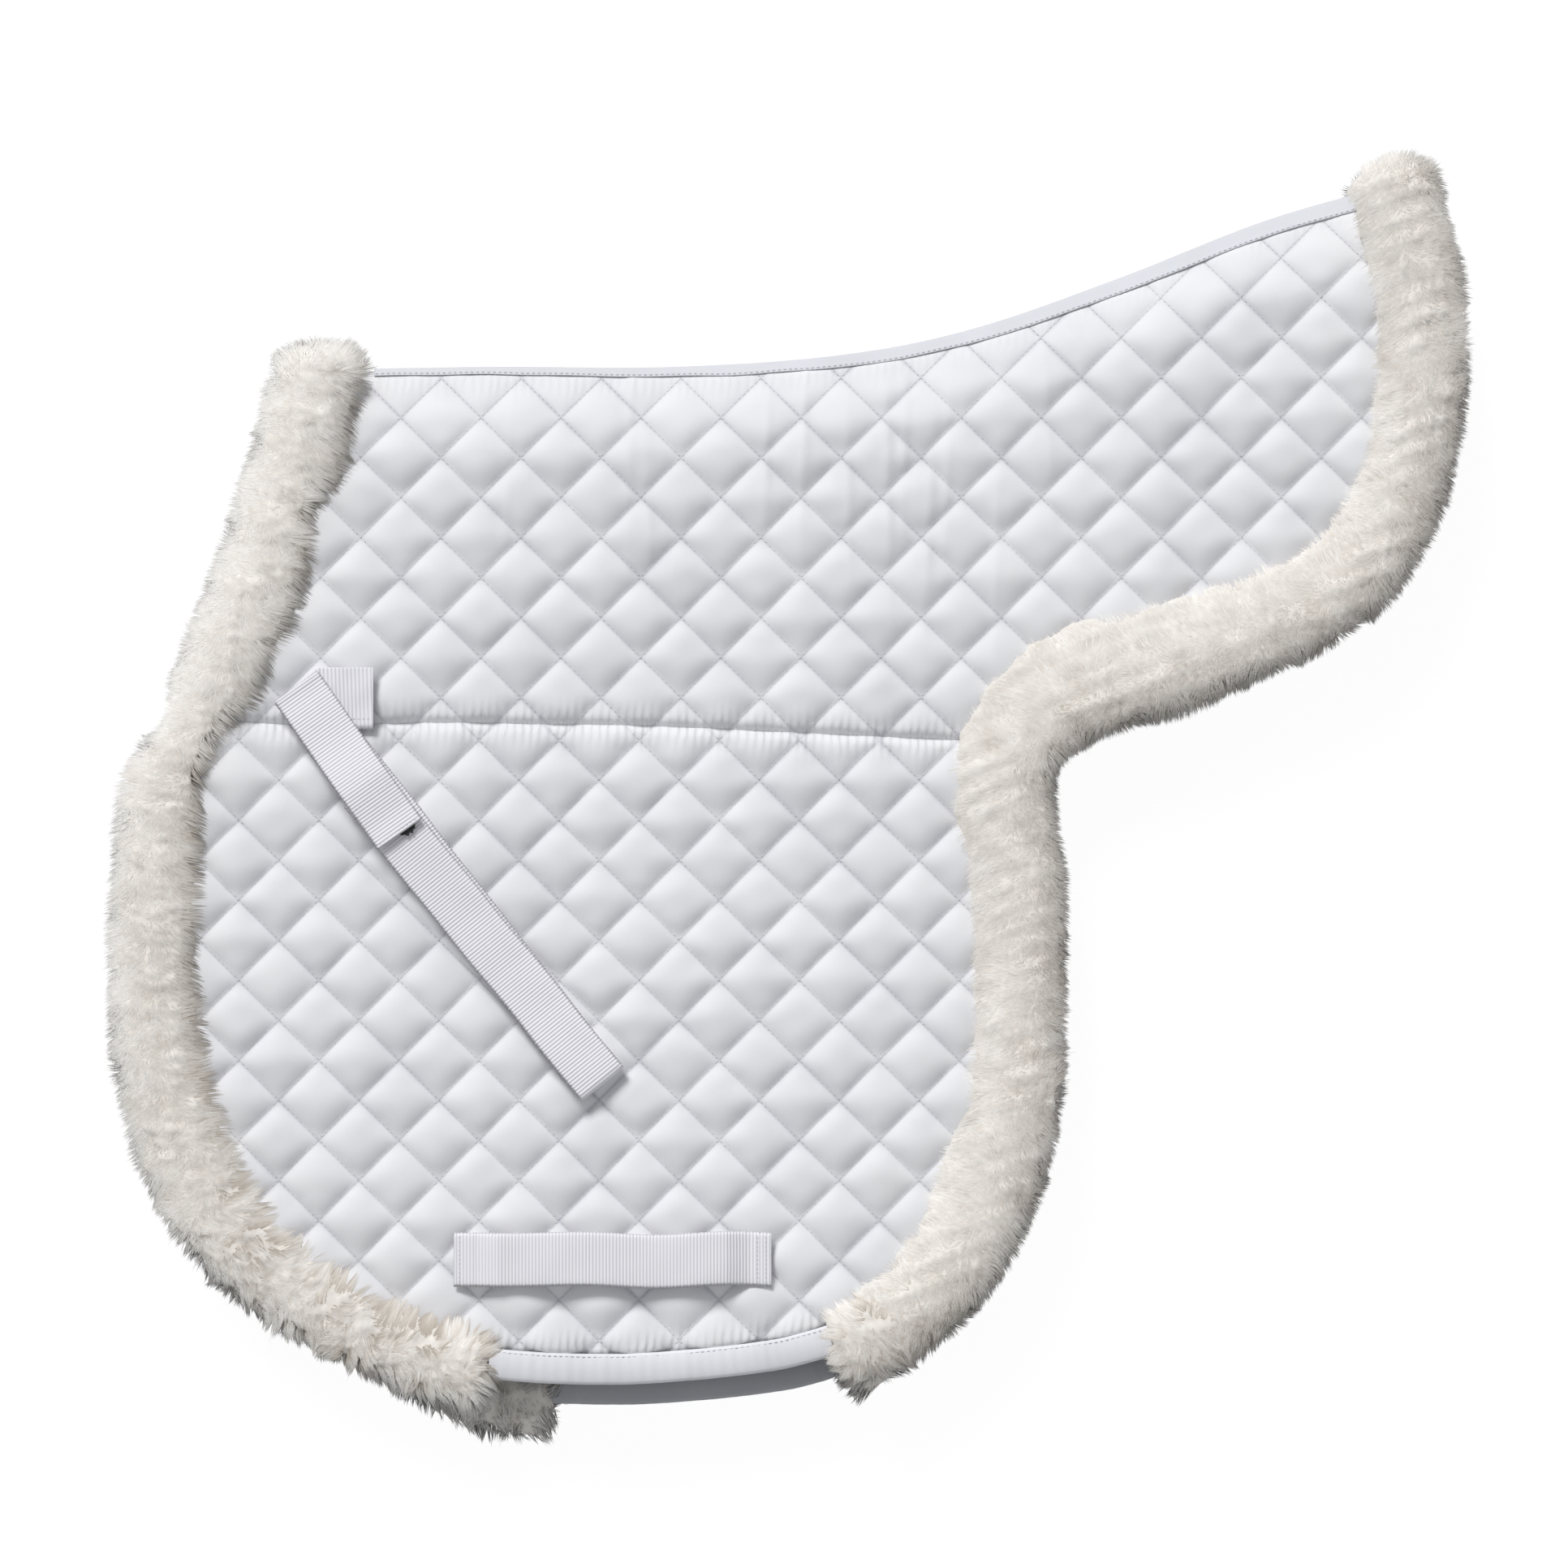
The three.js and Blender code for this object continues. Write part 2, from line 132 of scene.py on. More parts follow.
def line_length(line: Array) -> float:
    """The length of a line of points."""
    return float(np.linalg.norm(np.diff(line, axis=0), axis=1).sum())


def unit(vectors: Array) -> Array:
    """Vectors scaled to length 1."""
    return vectors / np.maximum(np.linalg.norm(vectors, axis=-1, keepdims=True), 1e-12)


def ripple(points: Array, wavelength: float, seed: int) -> Array:
    """Smooth pseudo-random values from about -1 to 1 over space.

    Args:
        points: Places, one per row, in two or three dimensions.
        wavelength: The typical size of a ripple, in the same unit.
        seed: Chooses the pattern.

    Returns:
        One value for each row.
    """
    draw = np.random.default_rng(seed)
    waves = unit(draw.normal(size=(9, points.shape[1]))) * draw.uniform(0.6, 1.5, (9, 1))
    phases = draw.uniform(0, 2 * np.pi, 9)
    return np.sin(points @ (waves.T * (2 * np.pi / wavelength)) + phases).sum(1) / 4.2


def mesh_piece(
    name: str, points: Array, faces: list[Array], finish: bpy.types.Material, normals: Array | None = None,
) -> bpy.types.Object:
    """A shown mesh object of points in metres.

    Args:
        name: The piece's name.
        points: Vertices in the row frame, in metres.
        faces: Arrays of vertex numbers, each of one polygon size.
        finish: The piece's material.
        normals: Shading directions of the vertices, where they differ from the surface's own.

    Returns:
        The linked object, shaded smooth.
    """
    mesh = bpy.data.meshes.new(name)
    faces = [f for f in faces if len(f)]
    corners = np.concatenate([f.ravel() for f in faces]).astype(np.int32)
    sizes = np.concatenate([np.full(len(f), f.shape[1]) for f in faces])
    mesh.vertices.add(len(points))
    mesh.vertices.foreach_set("co", np.asarray(points, np.float32).ravel())
    mesh.loops.add(len(corners))
    mesh.loops.foreach_set("vertex_index", corners)
    mesh.polygons.add(len(sizes))
    mesh.polygons.foreach_set("loop_start", np.concatenate([[0], np.cumsum(sizes)[:-1]]).astype(np.int32))
    mesh.update(calc_edges=True)
    mesh.validate()
    mesh.polygons.foreach_set("use_smooth", np.ones(len(mesh.polygons), bool))
    if normals is not None:
        mesh.normals_split_custom_set_from_vertices(normals.tolist())
    mesh.materials.append(finish)
    piece = bpy.data.objects.new(name, mesh)
    bpy.context.scene.collection.objects.link(piece)
    return piece


def note_values(piece: bpy.types.Object, name: str, values: Array) -> None:
    """Stores one number per vertex for the piece's material to read."""
    piece.data.attributes.new(name, "FLOAT", "POINT").data.foreach_set("value", values.astype(np.float32))


def ring_faces(rows: int, across: int, closed: bool = True) -> Array:
    """Quads of a tube whose vertices are rows of rings.

    Args:
        rows: How many rings.
        across: Vertices in each ring.
        closed: Whether each ring closes on itself.

    Returns:
        An array of four vertex numbers per row.
    """
    index = np.arange(rows * across).reshape(rows, across)
    if closed:
        index = np.hstack([index, index[:, :1]])
    return np.stack([index[:-1, :-1], index[1:, :-1], index[1:, 1:], index[:-1, 1:]], -1).reshape(-1, 4)


def within(points: Array, outline: Array) -> Array:
    """Which points lie inside a closed outline."""
    inside = np.zeros(len(points), bool)
    ends = np.roll(outline, -1, axis=0)
    for (x0, y0), (x1, y1) in zip(outline, ends):
        crosses = (y0 > points[:, 1]) != (y1 > points[:, 1])
        if y0 != y1:
            inside ^= crosses & (points[:, 0] < (x1 - x0) * (points[:, 1] - y0) / (y1 - y0) + x0)
    return inside


def nearest(points: Array, line: Array) -> Array:
    """Each point's distance to the nearest point of a line."""
    tree = KDTree(len(line))
    for i, (x, y) in enumerate(line):
        tree.insert((x, y, 0), i)
    tree.balance()
    return np.array([tree.find((x, y, 0))[2] for x, y in points[:, :2].tolist()])


def runs_of(kept: Array) -> list[slice]:
    """The stretches of at least three neighbours that are kept."""
    edge = np.flatnonzero(np.diff(np.concatenate([[0], kept.astype(int), [0]])))
    return [slice(a, b) for a, b in zip(edge[::2], edge[1::2]) if b - a > 2]


def make_outward(piece: bpy.types.Object) -> None:
    """Turns a closed mesh's faces outwards."""
    solid = bmesh.new()
    solid.from_mesh(piece.data)
    bmesh.ops.recalc_face_normals(solid, faces=solid.faces)
    solid.to_mesh(piece.data)
    solid.free()


# ---------------------------------------------------------------- the cut of the pad


@dataclass(frozen=True)
class Cut:
    """The pad's pattern, in millimetres: +x to the tail, +y to the spine, seen from the near side."""

    spine: tuple = (
        (-250, 230), (-160, 231.5), (-60, 231.5), (30, 238), (100, 252), (178, 279), (257, 310), (327, 330),
    )
    front: tuple = (
        (-250, 230), (-263, 181), (-283, 116), (-311, 50), (-331, 0), (-337, -60), (-338, -115),
        (-326, -175), (-296, -234), (-246, -277), (-200, -299), (-161, -308),
    )
    rear: tuple = (
        (327, 330), (340, 270), (341, 215), (327, 158), (297, 114), (222, 76), (165, 56), (139, 39),
        (123, 8), (126, -50), (126, -110), (121, -180), (97, -240), (60, -279), (26, -295),
    )
    bottom: tuple = ((26, -295), (-10, -304), (-75, -310.5), (-125, -310.5), (-161, -308))
    off_front_tail: tuple = (-131, -310.5)
    seam: tuple = (
        (-330, 43), (-306, 43.5), (-276, 41), (-240, 40.2), (-188, 41.6), (-126, 40.6), (-68, 39.6),
        (86, 32.4), (160, 29),
    )
    fold_point: tuple = (34.8, 183.0)
    fold_slope: float = 0.172
    fold_reach: float = 45.0
    overhang: float = 13.0
    lift_run: float = 55.0
    spine_height: float = 3.9
    lining_spine_height: float = 0.4
    anchor_corner: tuple = (-275.3, 38.0)
    tape_ends: tuple = (-222.0, 308.0)
    tape_widths: tuple = (2.6, 7.8)

    def place(self) -> tuple[float, float]:
        """Where the pattern's own zero lies in the row frame, in metres, read off the strap's anchor."""
        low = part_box("near_strap_anchor")[0]
        return low.x - self.anchor_corner[0] * MM, low.y - self.anchor_corner[1] * MM

    def levels(self) -> tuple[float, float, float]:
        """Heights in mm: the fold plane, and the outer and inner faces of a side above it."""
        near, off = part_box("near_flap_cover"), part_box("off_flap_cover")
        middle = (near[1].z + off[0].z) / 2
        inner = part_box("near_flap_lining")[0].z
        return middle / MM, (near[1].z - middle) / MM, (inner - middle) / MM

    def spine_y(self, x: Array) -> Array:
        """The height of the spine's edge on the pattern at each x."""
        line = spline(self.spine, 300)
        return np.interp(x, line[:, 0], line[:, 1])

    def tape_width(self, x: Array) -> Array:
        """How far the spine's tape reaches down at each x: narrow at the withers and wide at the cantle."""
        share = (x - self.tape_ends[0]) / (self.tape_ends[1] - self.tape_ends[0])
        return self.tape_widths[0] + (self.tape_widths[1] - self.tape_widths[0]) * smooth(share * 1.1)

    def seam_y(self, x: Array) -> Array:
        """The height of the panel seam on the pattern at each x."""
        line = spline(self.seam, 200)
        return np.interp(x, line[:, 0], line[:, 1])

    def settle(self, points: Array, side: Side) -> Array:
        """Moves points of the off side to where it has slipped down and back.

        Args:
            points: Pattern points, x and y first.
            side: The side they belong to.

        Returns:
            A moved copy.
        """
        moved = np.array(points, float)
        if side is Side.OFF:
            between = smooth((moved[:, 0] + 235) / 65) * (1 - smooth((moved[:, 0] - 15) / 55))
            share = smooth((-60 - moved[:, 1]) / 190) * (0.2 + 0.8 * between)
            moved[:, 0] += 0.35 * self.overhang * share
            moved[:, 1] -= self.overhang * share
        return moved

    def to_row(self, points: Array, heights: Array, side: Side) -> Array:
        """Pattern points and heights above the fold plane, in mm, as places in the row frame in metres."""
        x, y = self.place()
        middle = self.levels()[0]
        settled = self.settle(points[:, :2], side)
        return np.column_stack([
            settled[:, 0] * MM + x, settled[:, 1] * MM + y, (middle + side.value * heights) * MM,
        ])

    def below_spine(self, points: Array) -> Array:
        """How far each point lies below the spine's edge."""
        return np.maximum(self.spine_y(points[:, 0]) - points[:, 1], 0)

    def outer_height(self, points: Array) -> Array:
        """The height of the outer face where a side is fully lofted but for the spine's pinch."""
        low, outer = self.spine_height, self.levels()[1]
        return low + (outer - low) * smooth(((self.below_spine(points) + 2) / (self.lift_run - 8)) ** 0.75)

    def inner_height(self, points: Array) -> Array:
        """The height of the lining."""
        low, inner = self.lining_spine_height, self.levels()[2]
        return low + (inner - low) * smooth(self.below_spine(points) / self.lift_run)

    def bend(self, piece: bpy.types.Object) -> None:
        """Bakes a near-side piece that crosses the fold line into its mesh where it lies; nothing bends it
        there.
        """
        x, y = self.place()
        z = self.levels()[0] * MM
        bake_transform(piece)

    def carry(self, piece: bpy.types.Object, side: Side, crosses_fold: bool = False) -> None:
        """Makes a piece move with its side; a near-side piece that crosses the fold is only baked in place
        and is attached to no side.
        """
        if side is Side.NEAR and crosses_fold:
            self.bend(piece)
        else:
            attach(piece, f"{side.word}_side")


CUT = Cut()


# ---------------------------------------------------------------- closed pieces laid on the pattern


def tube_piece(name: str, rings: Array, side: Side, finish: bpy.types.Material) -> bpy.types.Object:
    """A closed tube through rings of points, capped at both ends.

    Args:
        name: The piece's name.
        rings: Rows of rings of pattern points with their heights.
        side: The side that it lies on.
        finish: Its material.

    Returns:
        The piece, facing outward.
    """
    rows, across = rings.shape[:2]
    flat = rings.reshape(-1, 3)
    caps = [np.arange(across)[None, ::-1], (rows - 1) * across + np.arange(across)[None]]
    places = CUT.to_row(flat[:, :2], flat[:, 2], side)
    piece = mesh_piece(name, places, [ring_faces(rows, across), *caps], finish)
    make_outward(piece)
    return piece


def slab_piece(
    name: str, grid: tuple[int, int], upper: Array, lower: Array, side: Side, finish: bpy.types.Material,
) -> bpy.types.Object:
    """A thin closed slab between two grids of points.

    Args:
        name: The piece's name.
        grid: The rows and columns of each grid.
        upper: Pattern points with heights of one face.
        lower: Those of the other face.
        side: The side that it lies on.
        finish: Its material.

    Returns:
        The piece, facing outward.
    """
    count = len(upper)
    index = np.arange(count).reshape(grid)
    faces = ring_faces(*grid, closed=False)
    loop = np.concatenate([index[0], index[1:, -1], index[-1, -2::-1], index[-2:0:-1, 0]])
    after = np.roll(loop, -1)
    rim = np.stack([loop, after, after + count, loop + count], 1)
    flat = np.concatenate([upper, lower])
    places = CUT.to_row(flat[:, :2], flat[:, 2], side)
    piece = mesh_piece(name, places, [faces, faces[:, ::-1] + count, rim], finish)
    make_outward(piece)
    return piece


# ---------------------------------------------------------------- finishes


class Shading:
    """A new material with its shader, and short ways to add nodes."""

    def __init__(self, name: str, roughness: float) -> None:
        """Starts a material.

        Args:
            name: The material's name.
            roughness: The shader's roughness where nothing drives it.
        """
        self.material = bpy.data.materials.new(name)
        self.material.use_nodes = True
        self.nodes = self.material.node_tree.nodes
        self.links = self.material.node_tree.links
        self.shader = self.nodes["Principled BSDF"]
        self.shader.inputs["Roughness"].default_value = roughness
        self.place = self.nodes.new("ShaderNodeTexCoord").outputs["Object"]

    def noise(self, scale: float, detail: float = 2.0, stretch: tuple = (1, 1, 1)) -> bpy.types.NodeSocket:
        """A noise value over the object's own coordinates."""
        mapping = self.nodes.new("ShaderNodeMapping")
        mapping.inputs["Scale"].default_value = stretch
        self.links.new(self.place, mapping.inputs["Vector"])
        texture = self.nodes.new("ShaderNodeTexNoise")
        texture.inputs["Scale"].default_value = scale
        texture.inputs["Detail"].default_value = detail
        self.links.new(mapping.outputs[0], texture.inputs["Vector"])
        return texture.outputs["Fac"]

    def waves(self, pitch: float, angle: float, distortion: float = 0.0) -> bpy.types.NodeSocket:
        """Parallel threads: a wave of a pitch in metres, turned about the vertical by an angle in degrees."""
        mapping = self.nodes.new("ShaderNodeMapping")
        mapping.inputs["Rotation"].default_value = (0, 0, math.radians(angle))
        self.links.new(self.place, mapping.inputs["Vector"])
        texture = self.nodes.new("ShaderNodeTexWave")
        texture.inputs["Scale"].default_value = math.pi / (10 * pitch)
        texture.inputs["Distortion"].default_value = distortion
        self.links.new(mapping.outputs[0], texture.inputs["Vector"])
        return texture.outputs["Fac"]

    def value(self, name: str) -> bpy.types.NodeSocket:
        """A number stored on the mesh."""
        node = self.nodes.new("ShaderNodeAttribute")
        node.attribute_name = name
        return node.outputs["Fac"]

    def mixed(self, *terms: tuple) -> bpy.types.NodeSocket:
        """The sum of sockets, each given with its weight."""
        parts = [self.math("MULTIPLY", socket, weight) for socket, weight in terms]
        total = parts[0]
        for part in parts[1:]:
            total = self.math("ADD", total, part)
        return total

    def math(self, kind: str, a: object, b: object = 0.0) -> bpy.types.NodeSocket:
        """One sum of two sockets or numbers."""
        node = self.nodes.new("ShaderNodeMath")
        node.operation = kind
        for socket, given in zip(node.inputs, (a, b)):
            if isinstance(given, bpy.types.NodeSocket):
                self.links.new(given, socket)
            else:
                socket.default_value = given
        return node.outputs[0]

    def ramp(self, factor: bpy.types.NodeSocket, stops: list[tuple[float, tuple]]) -> bpy.types.NodeSocket:
        """Colours over a factor from 0 to 1.

        Args:
            factor: The socket that chooses the colour.
            stops: Pairs of place and linear colour.

        Returns:
            The colour socket.
        """
        node = self.nodes.new("ShaderNodeValToRGB")
        while len(node.color_ramp.elements) < len(stops):
            node.color_ramp.elements.new(0.5)
        for element, (place, colour) in zip(node.color_ramp.elements, stops):
            element.position = place
            element.color = (*colour, 1)
        self.links.new(factor, node.inputs["Fac"])
        return node.outputs["Color"]

    def colour(self, socket: bpy.types.NodeSocket) -> None:
        """Paints the shader."""
        self.links.new(socket, self.shader.inputs["Base Color"])

    def roughness(self, factor: bpy.types.NodeSocket, low: float, high: float) -> None:
        """Lets the roughness run from low to high over a factor."""
        node = self.nodes.new("ShaderNodeMapRange")
        node.inputs["To Min"].default_value = low
        node.inputs["To Max"].default_value = high
        self.links.new(factor, node.inputs["Value"])
        self.links.new(node.outputs["Result"], self.shader.inputs["Roughness"])

    def bump(self, height: bpy.types.NodeSocket, depth: float) -> None:
        """Raises the surface by height times a depth in metres, on top of any bump before it."""
        node = self.nodes.new("ShaderNodeBump")
        node.inputs["Distance"].default_value = depth
        node.inputs["Strength"].default_value = 1.0
        self.links.new(height, node.inputs["Height"])
        target = self.shader.inputs["Normal"]
        if target.is_linked:
            self.links.new(target.links[0].from_socket, node.inputs["Normal"])
        self.links.new(node.outputs["Normal"], target)

    def sheen(self, weight: float, roughness: float) -> None:
        """Sets the soft halo of loose fibres."""
        self.shader.inputs["Sheen Weight"].default_value = weight
        self.shader.inputs["Sheen Roughness"].default_value = roughness
        self.shader.inputs["Specular IOR Level"].default_value = 0.25


@dataclass(frozen=True)
class CottonFinish:
    """Tightly woven, slightly cool white cotton."""

    name: str
    light: tuple = (0.875, 0.875, 0.892)
    dark: tuple = (0.815, 0.815, 0.84)
    thread: float = 0.00042
    depth: float = 0.00006
    pucker: float = 0.0046
    pucker_depth: float = 0.00065
    # Colour along the stitch lines: painted shade in the pinched valleys between the pillows.
    sewn: tuple = (0.64, 0.64, 0.675)

    def material(self) -> bpy.types.Material:
        """The cotton's material: a fine diagonal weave, faint clouds, painted shade along the stitch lines,
        and puckers where it is gathered.
        """
        shading = Shading(self.name, 0.85)
        weave = shading.math("MULTIPLY", shading.waves(self.thread, 28), shading.waves(self.thread, 118))
        cloud = shading.noise(28, 3)
        # Closeness to a stitch line pulls the tone towards the sewn colour: painted shade in the valleys.
        tone = shading.mixed((cloud, 0.75), (weave, 0.25), (shading.value("sewn"), -0.38))
        shading.colour(shading.ramp(tone, [(0.0, self.sewn), (0.27, self.dark), (0.75, self.light)]))
        shading.roughness(cloud, 0.78, 0.92)
        shading.bump(shading.mixed((weave, 1.0), (shading.noise(900, 3), 0.8)), self.depth)
        folds = shading.math("MULTIPLY", shading.waves(self.pucker, 3, 2.4), shading.value("gather"))
        shading.bump(folds, self.pucker_depth)
        shading.sheen(0.12, 0.5)
        return shading.material


@dataclass(frozen=True)
class FleeceFinish:
    """Warm off-white pile, darker and browner at the roots: the warm tint is the fleece's own, the darkness
    is painted shade deep in the pile.
    """

    name: str
    # Root colour: the fleece's warm tint darkened by painted shade.
    root: tuple = (0.40, 0.33, 0.26)
    body: tuple = (0.72, 0.67, 0.61)
    tip: tuple = (0.95, 0.922, 0.885)
    fibre_depth: float = 0.0002

    def material(self) -> bpy.types.Material:
        """The pile's material: root to tip colour, its dark roots being painted shade, with patches of tone
        and a fine fibre grain.
        """
        shading = Shading(self.name, 0.95)
        patch = shading.noise(16, 4)
        tone = shading.mixed((shading.value("tone"), 1.0), (patch, 0.3))
        place = shading.mixed((shading.value("tip"), 0.72), (tone, 0.42))
        shading.colour(shading.ramp(place, [(0.05, self.root), (0.5, self.body), (0.92, self.tip)]))
        shading.roughness(patch, 0.88, 1.0)
        shading.bump(shading.noise(1400, 3, (1, 1, 0.35)), self.fibre_depth)
        shading.sheen(0.35, 0.6)
        return shading.material


@dataclass(frozen=True)
class WebbingFinish:
    """Bright woven tape with a slight lilac cast, a soft shine on its ribs, and painted shade in the grooves
    between them.
    """

    name: str
    light: tuple = (0.90, 0.885, 0.925)
    # Groove colour: painted shade between the ribs.
    dark: tuple = (0.75, 0.75, 0.81)
    grain: float = 0.0007
    rib_depth: float = 0.00032

    def material(self) -> bpy.types.Material:
        """The tape's material: fine woven grain, a little tonal drift along it, and painted shade in the
        grooves between the ribs.
        """
        shading = Shading(self.name, 0.6)
        threads = [shading.waves(self.grain, angle, 0.6) for angle in (52, -38)]
        grain = shading.math("MULTIPLY", *threads)
        drift = shading.noise(35, 3)
        turn = shading.math("MULTIPLY", shading.value("rib"), math.pi)
        rib = shading.math("ABSOLUTE", shading.math("SINE", turn))
        # The ribs' grooves take the dark colour: painted shade.
        tone = shading.mixed((drift, 0.3), (rib, 0.65))
        shading.colour(shading.ramp(tone, [(0.12, self.dark), (0.55, self.light)]))
        shading.roughness(drift, 0.5, 0.7)
        shading.bump(grain, 0.00006)
        shading.bump(rib, self.rib_depth)
        shading.sheen(0.1, 0.4)
        return shading.material


@dataclass(frozen=True)
class TapeFinish:
    """Moulded hook tape or brushed loop tape."""

    name: str
    light: tuple
    dark: tuple
    rough: float

    def material(self) -> bpy.types.Material:
        """The tape's material: a speckle of tiny hooks or loops."""
        shading = Shading(self.name, self.rough)
        speckle = shading.noise(1800, 2)
        shading.colour(shading.ramp(speckle, [(0.35, self.dark), (0.7, self.light)]))
        shading.roughness(speckle, self.rough - 0.1, self.rough + 0.1)
        shading.bump(speckle, 0.0003)
        return shading.material


class Finishes:
    """Every finish of the pad, made once."""

    def __init__(self) -> None:
        """Makes the materials."""
        self.cotton = CottonFinish("quilted_cotton").material()
        self.lining = CottonFinish("lining_cotton", (0.82, 0.815, 0.82), (0.74, 0.735, 0.745)).material()
        self.bias = CottonFinish("bias_tape", (0.86, 0.865, 0.90), (0.79, 0.795, 0.835), 0.0005).material()
        self.spine_bias = CottonFinish(
            "spine_tape", (0.72, 0.73, 0.775), (0.66, 0.67, 0.71), 0.0005).material()
        # A darker copy of the bias tape: painted shade for the off side's bottom tape, which lies in the near
        # side's shadow.
        self.under_bias = CottonFinish(
            "under_tape", (0.50, 0.51, 0.54), (0.44, 0.45, 0.48), 0.0005).material()
        self.thread = CottonFinish("sewing_thread", (0.86, 0.86, 0.90), (0.62, 0.62, 0.68), 0.0004).material()
        self.fleece = FleeceFinish("deep_fleece").material()
        self.webbing = WebbingFinish("ribbed_webbing").material()
        self.hook = TapeFinish("hook_tape", (0.035, 0.035, 0.04), (0.006, 0.006, 0.008), 0.55).material()
        self.loop = TapeFinish("loop_tape", (0.86, 0.86, 0.88), (0.66, 0.66, 0.69), 0.9).material()


# ---------------------------------------------------------------- sewing


@dataclass
class Stitching:
    """Rows of short thread stitches, gathered into one piece."""

    pitch: float = 3.1
    length: float = 2.3
    width: float = 0.55
    height: float = 0.4
    centres: list = field(default_factory=list)
    runs: list = field(default_factory=list)

    def row(self, places: Array) -> None:
        """Lays stitches along a line.

        Args:
            places: Points of the line in the row frame, in metres.
        """
        count = max(2, int(line_length(places) / (self.pitch * MM)) + 1)
        at = resample(places, count)
        self.centres.append((at[1:] + at[:-1]) / 2)
        self.runs.append(unit(at[1:] - at[:-1]))

    def piece(self, name: str, finish: bpy.types.Material) -> bpy.types.Object:
        """All stitches as one mesh of small spindles."""
        centres, runs = np.concatenate(self.centres), np.concatenate(self.runs)
        up = np.array([0.0, 0.0, 1.0])
        across = unit(np.cross(runs, up))
        lift = unit(np.cross(across, runs))
        half = np.array([self.length, self.width, self.height]) * MM / 2
        corners = np.stack([
            centres - runs * half[0], centres + across * half[1], centres + lift * half[2],
            centres - across * half[1], centres - lift * half[2], centres + runs * half[0],
        ], 1)
        pattern = np.array([
            (0, 2, 1), (0, 3, 2), (0, 4, 3), (0, 1, 4), (5, 1, 2), (5, 2, 3), (5, 3, 4), (5, 4, 1),
        ])
        faces = (np.arange(len(centres))[:, None, None] * 6 + pattern).reshape(-1, 3)
        return mesh_piece(name, corners.reshape(-1, 3), [faces], finish)


# ---------------------------------------------------------------- quilted panels


